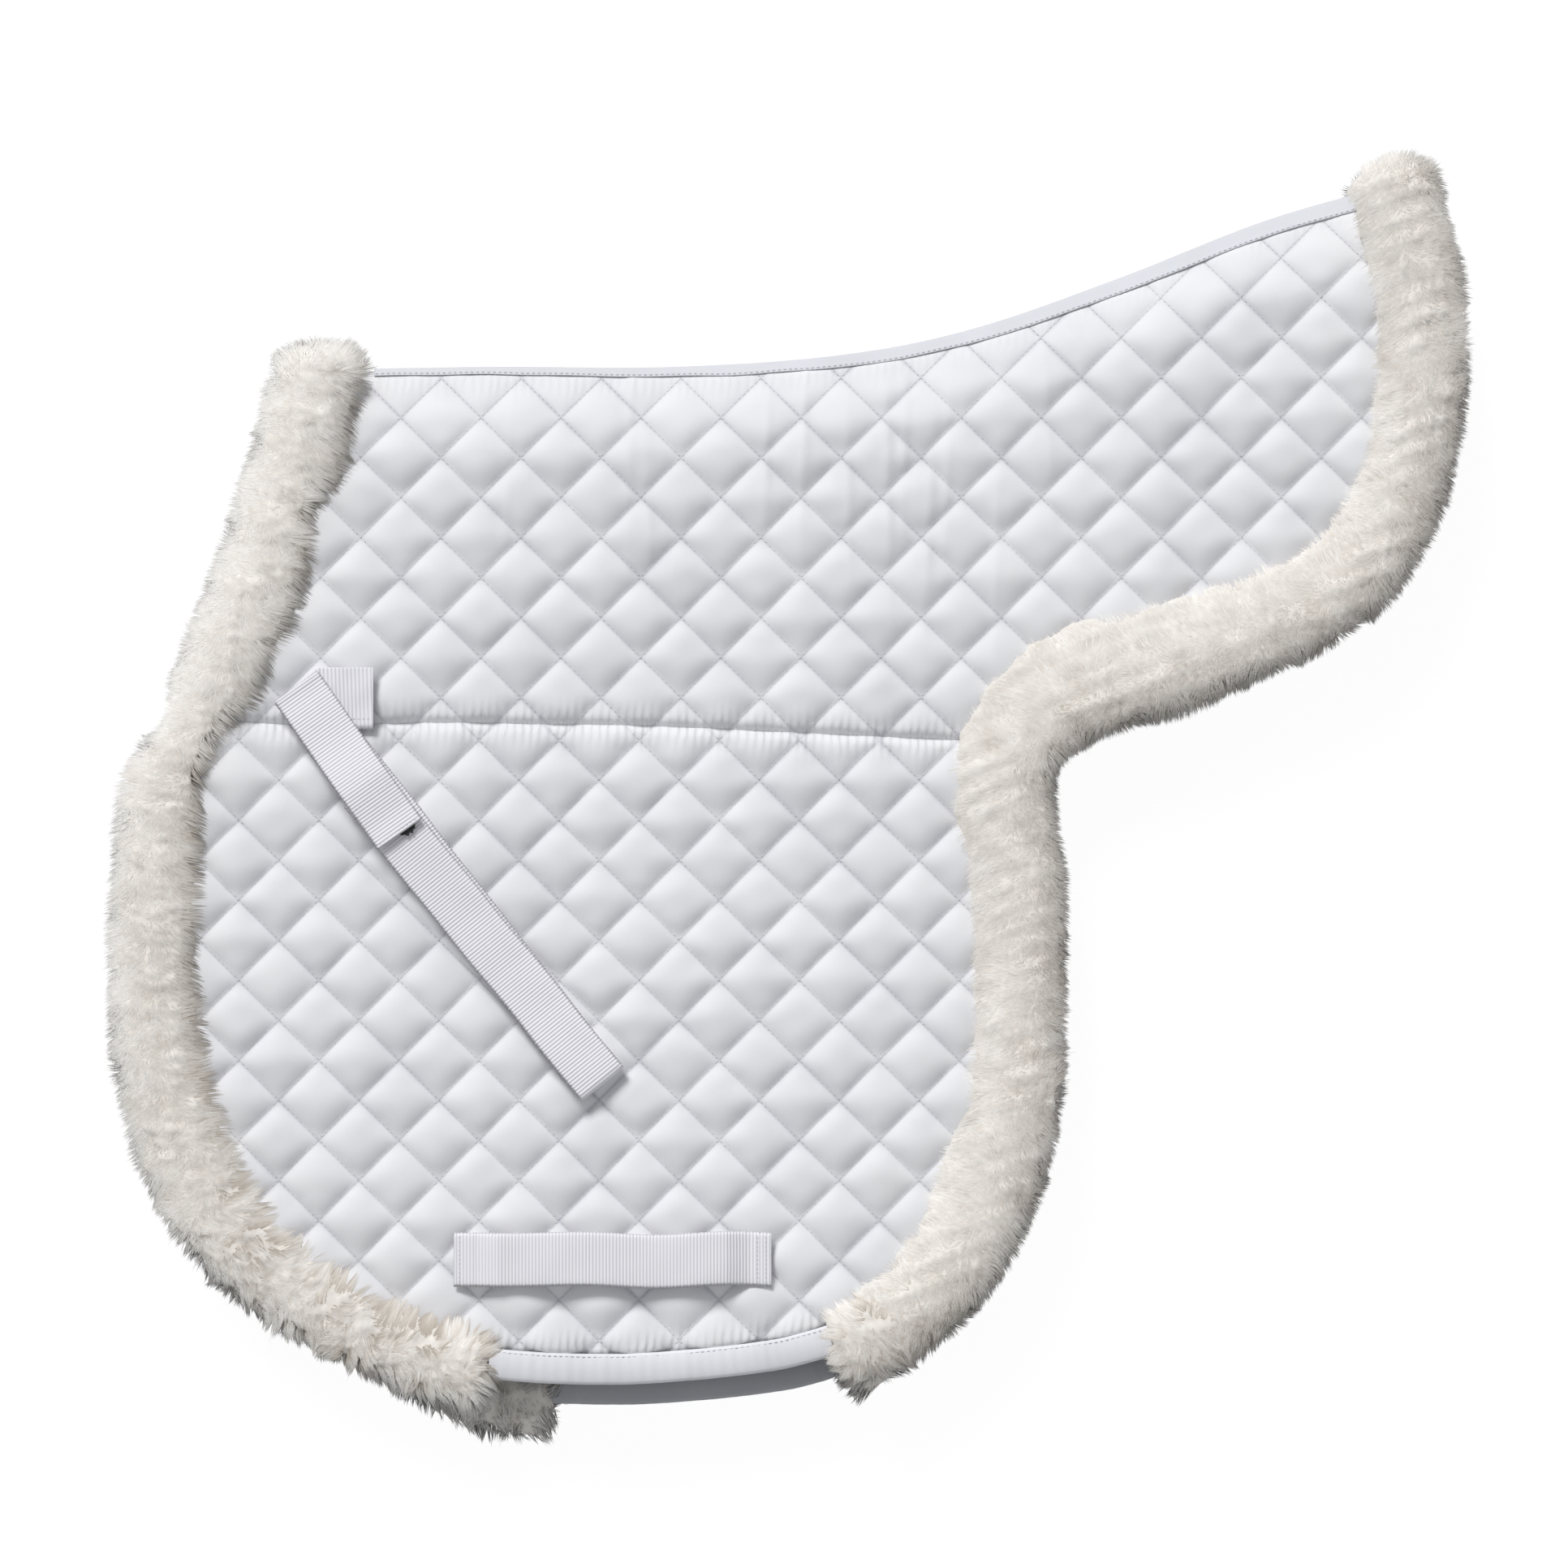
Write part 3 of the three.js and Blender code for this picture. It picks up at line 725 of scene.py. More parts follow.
@dataclass
class Quilt:
    """One quilted panel: cover, wadding and lining as one stuffed body, sewn through on a diamond lattice."""

    side: Side
    name: str
    crossing: tuple
    above_seam: bool
    finishes: Finishes
    diamond: float = 42.9
    steps: int = 10
    swell: float = 0.05
    pillow: float = 4.6
    inflate_frames: int = 12
    even_rounds: int = 5
    plumpness: float = 0.8
    sharpness: float = 0.75
    cloth_scale: float = 0.02

    @property
    def spacing(self) -> float:
        """The distance between neighbouring stitch lines."""
        return self.diamond / math.sqrt(2)

    def lattice(self, points: Array) -> Array:
        """Pattern points in stitch-line spacings along the two quilting directions."""
        x, y = points[:, 0] - self.crossing[0], points[:, 1] - self.crossing[1]
        return np.stack([x + y, x - y], 1) / math.sqrt(2) / self.spacing

    def sheet(self) -> tuple[Array, bpy.types.Mesh]:
        """The flat sheet on the lattice's grid, cut to the panel.

        Returns:
            Pattern points and the mesh that they belong to.
        """
        reach = int(620 / self.spacing) * self.steps
        ticks = np.arange(-reach, reach + 1) * self.spacing / self.steps
        a, b = np.meshgrid(ticks, ticks, indexing="ij")
        points = np.stack([(a + b).ravel(), (a - b).ravel()], 1) / math.sqrt(2) + np.array(self.crossing)
        index = np.arange(len(points)).reshape(a.shape)
        quads = np.stack([index[:-1, :-1], index[:-1, 1:], index[1:, 1:], index[1:, :-1]], -1).reshape(-1, 4)
        kept = quads[self.inside(points[quads].mean(1))]
        used, kept = np.unique(kept, return_inverse=True)
        return self.cut_at_seam(points[used], kept.reshape(-1, 4))

    def inside(self, centres: Array) -> Array:
        """Which cell centres lie in this panel, a little under its fleece and bindings."""
        spine = spline(CUT.spine, 300)
        rest = np.concatenate([
            spline(CUT.rear, 300)[:-1], spline(CUT.bottom, 100)[:-1], spline(CUT.front[::-1], 300)[:-1],
        ])
        held = within(centres, np.concatenate([spine[:-1], rest]))
        away = (nearest(centres, rest) > 4.0) & (nearest(centres, spine) > 1.0)
        across = centres[:, 1] - CUT.seam_y(centres[:, 0])
        return held & away & ((across > -3.5) if self.above_seam else (across < 3.5))

    def cut_at_seam(self, points: Array, quads: Array) -> tuple[Array, bpy.types.Mesh]:
        """Trims the sheet along the panel seam, which is straight once its waviness is taken out.

        Args:
            points: Pattern points.
            quads: The faces' vertex numbers.

        Returns:
            The trimmed sheet's pattern points and its mesh.
        """
        straight = points.copy()
        straight[:, 1] -= CUT.seam_y(points[:, 0])
        mesh = bpy.data.meshes.new("cut")
        mesh.from_pydata(np.column_stack([straight, np.zeros(len(straight))]).tolist(), [], quads.tolist())
        solid = bmesh.new()
        solid.from_mesh(mesh)
        solid_parts = solid.verts[:] + solid.edges[:] + solid.faces[:]
        bmesh.ops.bisect_plane(
            solid, geom=solid_parts, dist=0.05, plane_co=(0, 0, 0),
            plane_no=(0, -1 if self.above_seam else 1, 0), clear_outer=True,
        )
        bmesh.ops.triangulate(solid, faces=[f for f in solid.faces if len(f.verts) != 4])
        solid.to_mesh(mesh)
        solid.free()
        back = np.empty(len(mesh.vertices) * 3)
        mesh.vertices.foreach_get("co", back)
        back = back.reshape(-1, 3)[:, :2]
        back[:, 1] += CUT.seam_y(back[:, 0])
        return back, mesh

    def inflated(self) -> bpy.types.Mesh:
        """The sheet swollen by cloth simulation between its stitch lines.

        Returns:
            A mesh in pattern millimetres, z being the height of the swelling.
        """
        points, mesh = self.sheet()
        grid = self.lattice(points)
        off_line = np.abs(grid - np.round(grid)).min(1)
        stitched = off_line < 0.01
        flat = np.column_stack([points, np.zeros(len(points))])
        sheet = bpy.data.objects.new("inflating", mesh)
        bpy.context.scene.collection.objects.link(sheet)
        edges = np.empty(len(mesh.edges) * 2, int)
        mesh.edges.foreach_get("vertices", edges)
        corners = np.empty(len(mesh.loops), int)
        mesh.loops.foreach_get("edge_index", corners)
        lone = np.bincount(corners, minlength=len(mesh.edges)) == 1
        stitched[np.unique(edges.reshape(-1, 2)[lone])] = True
        mesh.vertices.foreach_set("co", (flat * self.cloth_scale).astype(np.float32).ravel())
        self.blow(sheet, np.where(stitched)[0])
        swollen = np.empty(len(points) * 3)
        mesh = sheet.data
        mesh.vertices.foreach_get("co", swollen)
        swollen = swollen.reshape(-1, 3) / self.cloth_scale
        log.info("%s %s swells to %.2f mm", self.side.word, self.name, np.quantile(swollen[:, 2], 0.98))
        swollen[:, 2] = self.evened(swollen[:, 2], edges.reshape(-1, 2), ~stitched)
        swollen[:, :2] = points + np.clip(swollen[:, :2] - points, -1.5, 1.5)
        mesh.vertices.foreach_set("co", swollen.astype(np.float32).ravel())
        if self.side is Side.NEAR:
            mesh = self.finer(sheet, mesh, stitched[edges.reshape(-1, 2)].all(1))
        bpy.data.objects.remove(sheet)
        return mesh

    def finer(self, sheet: bpy.types.Object, mesh: bpy.types.Mesh, sewn: Array) -> bpy.types.Mesh:
        """The sheet with every face split in four, creased along its sewn edges.

        Args:
            sheet: The object that holds the mesh.
            mesh: Its mesh.
            sewn: Which edges lie on a stitch line.

        Returns:
            A new mesh.
        """
        creases = mesh.attributes.new("crease_edge", "FLOAT", "EDGE")
        creases.data.foreach_set("value", (self.sharpness * sewn).astype(np.float32))
        finer = sheet.modifiers.new("finer", "SUBSURF")
        finer.levels = finer.render_levels = 1
        finer.boundary_smooth = "PRESERVE_CORNERS"
        graph = bpy.context.evaluated_depsgraph_get()
        return bpy.data.meshes.new_from_object(sheet.evaluated_get(graph))

    def evened(self, heights: Array, edges: Array, free: Array) -> Array:
        """The wadding's part: heights evened out between the stitch lines, up to the pillow's height."""
        ends = edges.ravel()
        degree = np.maximum(np.bincount(ends, minlength=len(heights)), 1)
        for _ in range(self.even_rounds):
            across = heights[edges[:, ::-1].ravel()]
            around = np.bincount(ends, weights=across, minlength=len(heights)) / degree
            heights = np.where(free, 0.5 * heights + 0.5 * around, 0.0)
        share = np.maximum(heights / np.quantile(heights, 0.98), 0)
        return self.pillow * share**self.plumpness

    def blow(self, sheet: bpy.types.Object, stitched: Array) -> None:
        """Swells the sheet with its stitch lines held, and keeps the result in its mesh."""
        group = sheet.vertex_groups.new(name="stitched")
        group.add(stitched.tolist(), 1.0, "REPLACE")
        cloth = sheet.modifiers.new("swell", "CLOTH")
        settings = cloth.settings
        settings.quality = 5
        settings.mass = 0.01
        settings.tension_stiffness = settings.compression_stiffness = 15
        settings.shear_stiffness = 5
        settings.bending_stiffness = 0.5
        settings.use_pressure = True
        settings.uniform_pressure_force = 5
        settings.shrink_min = -self.swell
        settings.vertex_group_mass = "stitched"
        settings.effector_weights.gravity = 0
        cloth.collision_settings.use_collision = False
        for step in range(1, self.inflate_frames + 1):
            bpy.context.scene.frame_set(step)
        graph = bpy.context.evaluated_depsgraph_get()
        swollen = bpy.data.meshes.new_from_object(sheet.evaluated_get(graph))
        sheet.modifiers.remove(cloth)
        sheet.data = swollen
        bpy.context.scene.frame_set(1)

    def dressed_height(self, points: Array, swelling: Array) -> Array:
        """Heights of the cover above the fold plane, from the swelling and how the panel is gathered.

        Args:
            points: Pattern points.
            swelling: Height of the pillows over the stitch lines.

        Returns:
            One height per point.
        """
        valley = CUT.outer_height(points) - self.pillow * smooth((CUT.below_spine(points) + 4) / 46)
        plump = 0.45 + 0.55 * smooth((CUT.below_spine(points) - 5) / 50)
        plump = plump * (1 + 0.10 * ripple(points, 70, 5))
        seam = np.abs(points[:, 1] - CUT.seam_y(points[:, 0]))
        bottom = nearest(points, spline(CUT.bottom, 60))
        height = valley + swelling * plump
        height -= 2.4 * hump(seam, 0, 2.2)
        height -= 2.6 * smooth((16.5 - bottom) / 4.5)
        down, width = CUT.below_spine(points), CUT.tape_width(points[:, 0])
        under_tape = smooth((width + 1.2 - down) / 1.6)
        held = CUT.outer_height(points) * np.clip(down / width, 0, 1) ** 0.37 - 0.6
        height = height * (1 - under_tape) + np.minimum(height, held) * under_tape
        return height + self.creases(points)

    @staticmethod
    def gathered(points: Array) -> Array:
        """How strongly the cover is puckered, from 0 to 1: along the seam, the bottom tape and the spine."""
        seam = np.abs(points[:, 1] - CUT.seam_y(points[:, 0]))
        bottom = nearest(points, spline(CUT.bottom, 60))
        uneven = 0.8 + 0.25 * ripple(points[:, :1], 27, 9)
        total = hump(seam, 0, 8.5) + 0.9 * hump(bottom, 17, 7) + 0.35 * hump(CUT.below_spine(points), 7, 7)
        return np.clip(total * uneven, 0, 1)

    def creases(self, points: Array) -> Array:
        """Faint upright creases across the seat, and a soft unevenness everywhere."""
        total = 0.25 * ripple(points, 24, 12)
        for x, y, run, lean, depth in (
            (-84, 205, 60, 0.02, 0.7), (-74, 150, 45, -0.03, 0.5), (-11, 185, 35, 0.03, 0.8),
            (9, 195, 45, 0.03, 0.9), (33, 165, 40, -0.02, 0.8), (54, 170, 50, -0.02, 1.0),
            (63, 195, 40, 0.02, 0.9), (76, 150, 40, 0.04, 0.8), (86, 175, 45, 0.03, 0.7),
            (112, 130, 55, 0.02, 0.6), (-150, 160, 60, 0.04, 0.4), (140, 200, 50, -0.05, 0.5),
        ):
            away = points[:, 0] - x - lean * (points[:, 1] - y)
            total += depth * hump(away, 0, 2.6) * hump(points[:, 1], y, run)
        return total

    def lining_height(self, points: Array, swelling: Array) -> Array:
        """Heights of the lining, which bulges a little towards the horse between the stitches."""
        bulge = 1.4 * swelling / self.pillow * smooth(CUT.below_spine(points) / CUT.lift_run)
        return CUT.inner_height(points) + 1.5 - bulge

    def build(self) -> list[bpy.types.Object]:
        """Makes the stuffed body and its quilting stitches."""
        flat = self.inflated()
        count = len(flat.vertices)
        shape = np.empty(count * 3)
        flat.vertices.foreach_get("co", shape)
        shape = shape.reshape(-1, 3)
        points, swelling = shape[:, :2], shape[:, 2]
        cover = CUT.to_row(points, self.dressed_height(points, swelling), self.side)
        lining = CUT.to_row(points, self.lining_height(points, swelling), self.side)
        faces = {3: [], 4: []}
        for polygon in flat.polygons:
            faces[len(polygon.vertices)].append(polygon.vertices[:])
        top = [np.array(faces[k], int).reshape(-1, k) for k in (3, 4)]
        edges: dict = {}
        for polygons in top:
            for k in range(polygons.shape[1]):
                for a, b in zip(polygons[:, k].tolist(), polygons[:, (k + 1) % polygons.shape[1]].tolist()):
                    edges[(a, b)] = True
        rim = np.array([(b, a, a + count, b + count) for a, b in edges if (b, a) not in edges])
        under = [p[:, ::-1] + count for p in top]
        if self.side is Side.OFF:
            top, under, rim = [p[:, ::-1] for p in top], [p[:, ::-1] for p in under], rim[:, ::-1]
        body = mesh_piece(
            f"{self.side.word}_{self.name}_quilt", np.concatenate([cover, lining]), [*top, *under, rim],
            self.finishes.cotton,
        )
        body.data.materials.append(self.finishes.lining)
        sizes = [len(p) for p in top]
        slots = np.zeros(len(body.data.polygons), np.int32)
        slots[sum(sizes):2 * sum(sizes)] = 1
        body.data.polygons.foreach_set("material_index", slots)
        make_outward(body)
        note_values(body, "gather", np.concatenate([self.gathered(points), np.zeros(count)]))
        grid = self.lattice(points)
        off_line = np.abs(grid - np.round(grid)).min(1) * self.spacing
        # Closeness to a stitch line, which the cotton's material turns into painted shade.
        note_values(body, "sewn", np.tile(hump(off_line, 0, 1.3), 2))
        stitches = self.stitches()
        nodes = [f"{self.side.word}_{self.name}_{layer}" for layer in ("cover", "wadding", "lining")]
        if self.side is Side.NEAR and self.above_seam:
            nodes += [f"near_spine_{layer}" for layer in ("cover", "wadding", "lining")]
        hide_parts(*nodes)
        for piece in (body, stitches):
            CUT.carry(piece, self.side, crosses_fold=self.above_seam)
        return [body, stitches]

    def stitches(self) -> bpy.types.Object:
        """The quilting thread along both directions of the lattice."""
        sewing = Stitching()
        for direction in (0, 1):
            for line in range(-21, 22):
                along = np.arange(-21, 21.01, 0.1)
                grid = np.stack([np.full_like(along, line), along], 1)
                if direction:
                    grid = grid[:, ::-1]
                grid = grid * self.spacing
                points = np.stack([grid[:, 0] + grid[:, 1], grid[:, 0] - grid[:, 1]], 1) / math.sqrt(2)
                points += np.array(self.crossing)
                kept = self.inside(points) & (np.abs(points[:, 1] - CUT.seam_y(points[:, 0])) > 2.5)
                for run in runs_of(kept):
                    part = points[run]
                    height = self.dressed_height(part, np.zeros(len(part))) + 0.15
                    sewing.row(CUT.to_row(part, height, self.side))
        return sewing.piece(f"{self.side.word}_{self.name}_quilting", self.finishes.thread)


# ---------------------------------------------------------------- bindings


@dataclass
class SpineBinding:
    """The bias tape folded over both sides along the spine, with its stitch row."""

    finishes: Finishes
    bulge: float = 1.2
    stations: int = 420

    def build(self) -> list[bpy.types.Object]:
        """Makes the tape and its stitches."""
        x = np.linspace(*CUT.tape_ends, self.stations)
        width = CUT.tape_width(x) + 0.3 * ripple(x[:, None], 60, 31)
        turn = np.linspace(-1, 1, 25)
        rings = []
        for layer in (1.0, -0.2):
            for t in turn if layer > 0 else turn[::-1]:
                v = width * np.abs(t) ** 1.5 - self.bulge * (1 - np.abs(t) ** 2)
                v = v - (1 - layer) * 0.3 * (1 - abs(t))
                spot = np.stack([x, CUT.spine_y(x) - v], 1)
                face = CUT.outer_height(spot) + 0.6 * layer + 0.2 * ripple(spot, 17, 33) * (abs(t) > 0.1)
                rings.append(np.column_stack([spot, np.sign(t) * face * np.abs(t) ** 0.55]))
        tape = tube_piece("spine_binding_tape", np.stack(rings, 1), Side.NEAR, self.finishes.spine_bias)
        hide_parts("spine_binding")
        sewing = Stitching(pitch=3.0, length=2.2, width=0.6, height=0.5)
        for side in Side:
            spot = np.stack([x, CUT.spine_y(x) - width + 1.3], 1)
            sewing.row(CUT.to_row(spot, CUT.outer_height(spot) + 0.75, side))
        stitches = sewing.piece("spine_binding_stitches", self.finishes.spine_bias)
        for piece in (tape, stitches):
            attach(piece, "off_side")
        return [tape, stitches]


@dataclass
class BottomBinding:
    """The bias tape round a flap's bottom edge, between the ends of its fleece."""

    side: Side
    finishes: Finishes
    start: float
    end: float = 25.5
    width: float = 14.5
    nose: float = 0.42
    stations: int = 200

    def edge(self) -> tuple[Array, Array]:
        """The stretch of the bottom edge that the tape covers, and its inward normals."""
        line = spline(CUT.bottom[::-1], 500)
        line = line[(line[:, 0] > self.start) & (line[:, 0] < self.end)]
        line = resample(line, self.stations)
        run = unit(np.gradient(line, axis=0))
        return line, np.stack([-run[:, 1], run[:, 0]], 1)

    def build(self) -> list[bpy.types.Object]:
        """Makes the tape and its stitches."""
        line, inward = self.edge()
        _, outer, inner = CUT.levels()
        top, low = outer - 2.0, inner + 0.9
        middle, half = (top + low) / 2, (top - low) / 2
        turn = np.linspace(-1, 1, 29)
        rings = []
        for offset in (0.55, -0.35):
            for t in turn if offset > 0 else turn[::-1]:
                reach = np.clip((np.abs(t) - 0.3) / 0.7, 0, 1)
                bow = 2.2 * np.sqrt(max(0.0, 1 - min(1.0, abs(t) / self.nose) ** 2))
                depth = self.width * reach - bow + (0.55 - offset) * (abs(t) < self.nose)
                wave = 0.35 * ripple(line, 26, 41) + 0.2 * ripple(line, 7, 42)
                spot = line + inward * (depth + 0.3 * wave)[:, None]
                puffed = 1.3 * np.sin(np.pi * reach) ** 0.7 * np.sign(t)
                height = middle + half * np.sin(np.clip(t / self.nose, -1, 1) * np.pi / 2)
                height = height + (offset + wave) * np.sign(t) + puffed
                rings.append(np.column_stack([spot, height]))
        # The off side's tape takes the darker copy of the bias tape: painted shade.
        finish = self.finishes.bias if self.side is Side.NEAR else self.finishes.under_bias
        tape = tube_piece(f"{self.side.word}_bottom_tape", np.stack(rings, 1), self.side, finish)
        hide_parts(f"{self.side.word}_bottom_binding")
        sewing = Stitching(pitch=3.0, length=2.2, width=0.6, height=0.5)
        spot = line + inward * (self.width - 1.6)
        sewing.row(CUT.to_row(spot, np.full(len(spot), top + 1.3), self.side))
        stitches = sewing.piece(f"{self.side.word}_bottom_stitches", self.finishes.thread)
        for piece in (tape, stitches):
            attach(piece, f"{self.side.word}_side")
        return [tape, stitches]


# ---------------------------------------------------------------- fleece


@dataclass
class FleeceRoll:
    """A roll of deep pile along one edge of one side: a soft core covered in leaning locks."""

    side: Side
    edge: Edge
    path: tuple
    width: float
    nodes: tuple
    finishes: Finishes
    seed: int
    lift: float
    tone: float
    sunlit: float
    density: float = 0.5
    pile: float = 13.0
    spread: float = 5.5
    dome: float = 19.0
    half_height: float = 16.5
    lock_width: float = 0.6
    base: float = 6.2
    nod: float = 0.0
    overrun: float = 5.0
    shaggy_from: float = 2.0
    clump_size: int = 22
    # Painted light: how much lighter the off side's pile is coloured, as it lies in the near side's shadow.
    off_side_tone: float = 0.5
    flatness: float = 0.66

    def rails(self, count: int) -> tuple[Array, Array]:
        """Stations along the roll.

        Args:
            count: How many.

        Returns:
            The distance along the roll, from before its domed end, and the points of its centreline.
        """
        line = spline(self.path, 500)
        length = line_length(line)
        along = np.linspace(-self.dome, length + self.overrun, count)
        at = np.linspace(0, length, len(line))
        middle = np.stack([np.interp(along, at, line[:, k]) for k in (0, 1)], 1)
        first, last = unit(line[0] - line[4]), unit(line[-1] - line[-5])
        middle += first * np.maximum(-along, 0)[:, None] + last * np.maximum(along - length, 0)[:, None]
        return along, middle

    def girth(self, along: Array, length: float) -> Array:
        """The roll's size from 0 to 1 where it rounds off at its ends."""
        head = np.sqrt(np.clip(1 - (np.minimum(along, 0) / self.dome) ** 2, 0, 1))
        tail = np.sqrt(np.clip(1 - (np.maximum(along - length + 9, 0) / (self.overrun + 9.5)) ** 2, 0, 1))
        return head * np.maximum(tail, 0.05)

    def surface(self, along: Array, angle: Array, thickness: float) -> tuple[Array, Array, Array]:
        """Places on the roll and the directions there.

        Args:
            along: Distances along the roll.
            angle: Angles round it, 0 outward from the pad and a quarter turn up.
            thickness: How far inside the pile's outer reach.

        Returns:
            Places, outward normals and directions along the roll, in pattern axes and height.
        """
        stations, middle = self.rails(900)
        length = stations[-1] - self.overrun
        tail = length - 9.0
        inset = np.where(along < 0, along * (1 - thickness / self.dome), along)
        drawn_in = 1 - 0.8 * thickness / (self.overrun + 9)
        inset = np.where(along > tail, tail + (along - tail) * drawn_in, inset)
        centre = np.stack([np.interp(inset, stations, middle[:, k]) for k in (0, 1)], 1)
        run = np.gradient(middle, stations, axis=0)
        run = unit(np.stack([np.interp(along, stations, run[:, k]) for k in (0, 1)], 1))
        centre[:, 0] += self.nod * np.maximum(-inset, 0)
        outward = np.stack([-run[:, 1], run[:, 0]], 1) * self.outer_hand()
        size = self.girth(along, length)
        uneven = 1 + 0.045 * ripple(np.column_stack([along, 25 * angle]), 60, self.seed)
        facing_out = np.maximum(np.cos(angle), 0)
        uneven += facing_out * self.bulges(centre)
        across = (self.width / 2 - thickness) * size * uneven
        flare = self.flare(centre) * size * np.maximum(-np.cos(angle), 0)
        across += flare
        up = (self.half_height - 0.75 * thickness) * size
        slope = (self.girth(along + 0.5, length) - self.girth(along - 0.5, length)) * self.width / 2
        cos, sin = np.cos(angle), np.sin(angle)
        height = self.half_height + 0.2 + up * sin
        place = np.column_stack([centre + outward * (across * cos)[:, None], height])
        sideways = outward * (cos / (self.width / 2 + flare))[:, None]
        round_out = unit(np.column_stack([sideways, sin / self.half_height]))
        run = np.column_stack([run, np.zeros(len(run))])
        return place, unit(round_out - run * slope[:, None]), run

    def bulges(self, centre: Array) -> Array:
        """How much further the pile reaches outward at each place, as a share of its half width."""
        x, y = centre[:, 0], centre[:, 1]
        if self.is_front:
            share = 0.12 * hump(y, 5, 16) - 0.52 * hump(y, 38, 15)
            share += 0.14 * hump(y, -195, 36) - 0.48 * hump(x, -218, 62) * (y < -200)
            return share
        return -0.28 * hump(x, 125, 32) * hump(y, 25, 32)

    def flare(self, centre: Array) -> Array:
        """How much further the pile's inner edge lies over the quilting, in millimetres."""
        x, y = centre[:, 0], centre[:, 1]
        if self.is_front:
            notches = 17 * hump(y, 30, 24) + 8 * hump(y, 157, 15)
            return -notches - 5 * hump(y, -25, 50) + 3 * hump(y, 190, 15)
        corner = 17 * hump(x, 145, 105) * hump(y, 80, 95)
        return 6 + corner + 8 * hump(x, 95, 45) * hump(y, -205, 45)

    @property
    def is_front(self) -> bool:
        """Whether this is the roll along the front edge."""
        return self.edge is Edge.FRONT

    def outer_hand(self) -> float:
        """1 if the outside of the pad is to the left of the path, and -1 if to the right."""
        line = spline(self.path, 40)
        run = line[20] - line[19]
        return 1.0 if np.dot((-run[1], run[0]), line[20] - np.array([-60.0, 0.0])) > 0 else -1.0

    def core(self) -> bpy.types.Object:
        """The soft body under the pile."""
        stations, _ = self.rails(2)
        fine = 1.2 if self.side is Side.NEAR else 2.4
        along = np.linspace(stations[0] + 0.3, stations[1] - 0.3, int((stations[1] - stations[0]) / fine))
        around = int(88 / fine)
        angle = np.linspace(0, 2 * np.pi, around, endpoint=False)
        s, a = (grid.ravel() for grid in np.meshgrid(along, angle, indexing="ij"))
        place, normal, _ = self.surface(s, a, self.base)
        rough = 1.1 * ripple(place, 15, self.seed + 1) + 0.5 * ripple(place, 6, self.seed + 2)
        rough = rough + 0.3 * ripple(place, 3, self.seed)
        place += normal * rough[:, None]
        place[:, 2] = self.pressed(place[:, 2])
        rings = place.reshape(len(along), around, 3)
        piece = tube_piece(f"{self.side.word}_{self.edge.value}_core", rings, self.side, self.finishes.fleece)
        note_values(piece, "tip", 0.55 + 0.12 * ripple(place, 4, self.seed + 4))
        note_values(piece, "tone", 0.45 + 0.2 * ripple(place, 20, self.seed + 3))
        return piece

    def locks(self) -> bpy.types.Object:
        """The pile: tapered, leaning locks whose tips draw together into clumps."""
        draw = np.random.default_rng(self.seed)
        stations, _ = self.rails(2)
        length = stations[1] - self.overrun
        girth = 2 * np.pi * math.sqrt(((self.width / 2) ** 2 + self.half_height**2) / 2)
        count = int(self.density * (stations[1] - stations[0]) * girth)
        along = draw.uniform(stations[0] + 0.2, stations[1] - 0.2, count)
        angle = draw.uniform(0, 2 * np.pi, count)
        buried = np.abs(np.angle(np.exp(1j * (angle - np.pi * 1.03)))) < 0.42
        along, angle = along[~buried], angle[~buried]
        count = len(along)
        root, normal, run = self.surface(along, angle, 0.84 * self.pile)
        shag = smooth((along / length - self.shaggy_from) / 0.12)
        reach = self.pile * draw.uniform(0.86, 1.08, count)
        reach = reach * (1 + 0.07 * ripple(root, 26, self.seed + 5)) * (1 + 0.16 * shag)
        reach *= 1 - 0.28 * smooth((-np.cos(angle) - 0.2) / 0.6)
        tips, bend = self.comb(root, normal, run, angle, reach, shag)
        tips, apart = self.clump(root, tips, draw, shag)
        stray = draw.uniform(0, 1, count) < 0.010
        tips[stray] += (tips - root)[stray] * draw.uniform(0.08, 0.3, (stray.sum(), 1))
        radius = self.lock_width / 2 * draw.uniform(0.6, 1.3, count)
        radius[stray] *= 0.45
        inner = smooth((-np.cos(angle) - 0.25) / 0.6) * self.is_front * smooth((root[:, 1] + 200) / 70)
        lift = self.lift * (1 - 0.85 * inner)
        soft = unit(normal + np.array([0.0, 0.0, 1.0]) * lift[:, None])
        shape, normals, faces = self.lock_shapes(root, tips, bend, radius, soft, draw)
        shape[:, 2] = self.pressed(shape[:, 2])
        normals[:, 2] *= self.side.value
        if self.side is Side.OFF:
            faces = [f[:, ::-1] for f in faces]
        piece = mesh_piece(
            f"{self.side.word}_{self.edge.value}_pile", CUT.to_row(shape[:, :2], shape[:, 2], self.side),
            faces, self.finishes.fleece, normals,
        )
        # Where each vertex lies along its lock; the material darkens the roots as painted shade, since the
        # locks cast no shadows.
        note_values(piece, "tip", np.tile([0.4, 0.4, 0.4, 0.72, 0.72, 0.72, 1.0], count))
        # The off side's pile is coloured lighter: painted light.
        tone = self.tone + self.off_side_tone * (self.side is Side.OFF)
        tone = tone + 0.30 * ripple(root, 22, self.seed + 6) + draw.uniform(-0.22, 0.22, count)
        tone += self.sunlit * np.cos(angle) + 0.15 * ripple(root, 70, self.seed + 13)
        # Painted light and shade: the front roll's upper part is coloured lighter where the key light falls,
        # and its inner side darker, for the shade beside the quilting.
        tone += 0.62 * self.is_front * smooth((root[:, 1] - 10) / 80) - 0.6 * inner
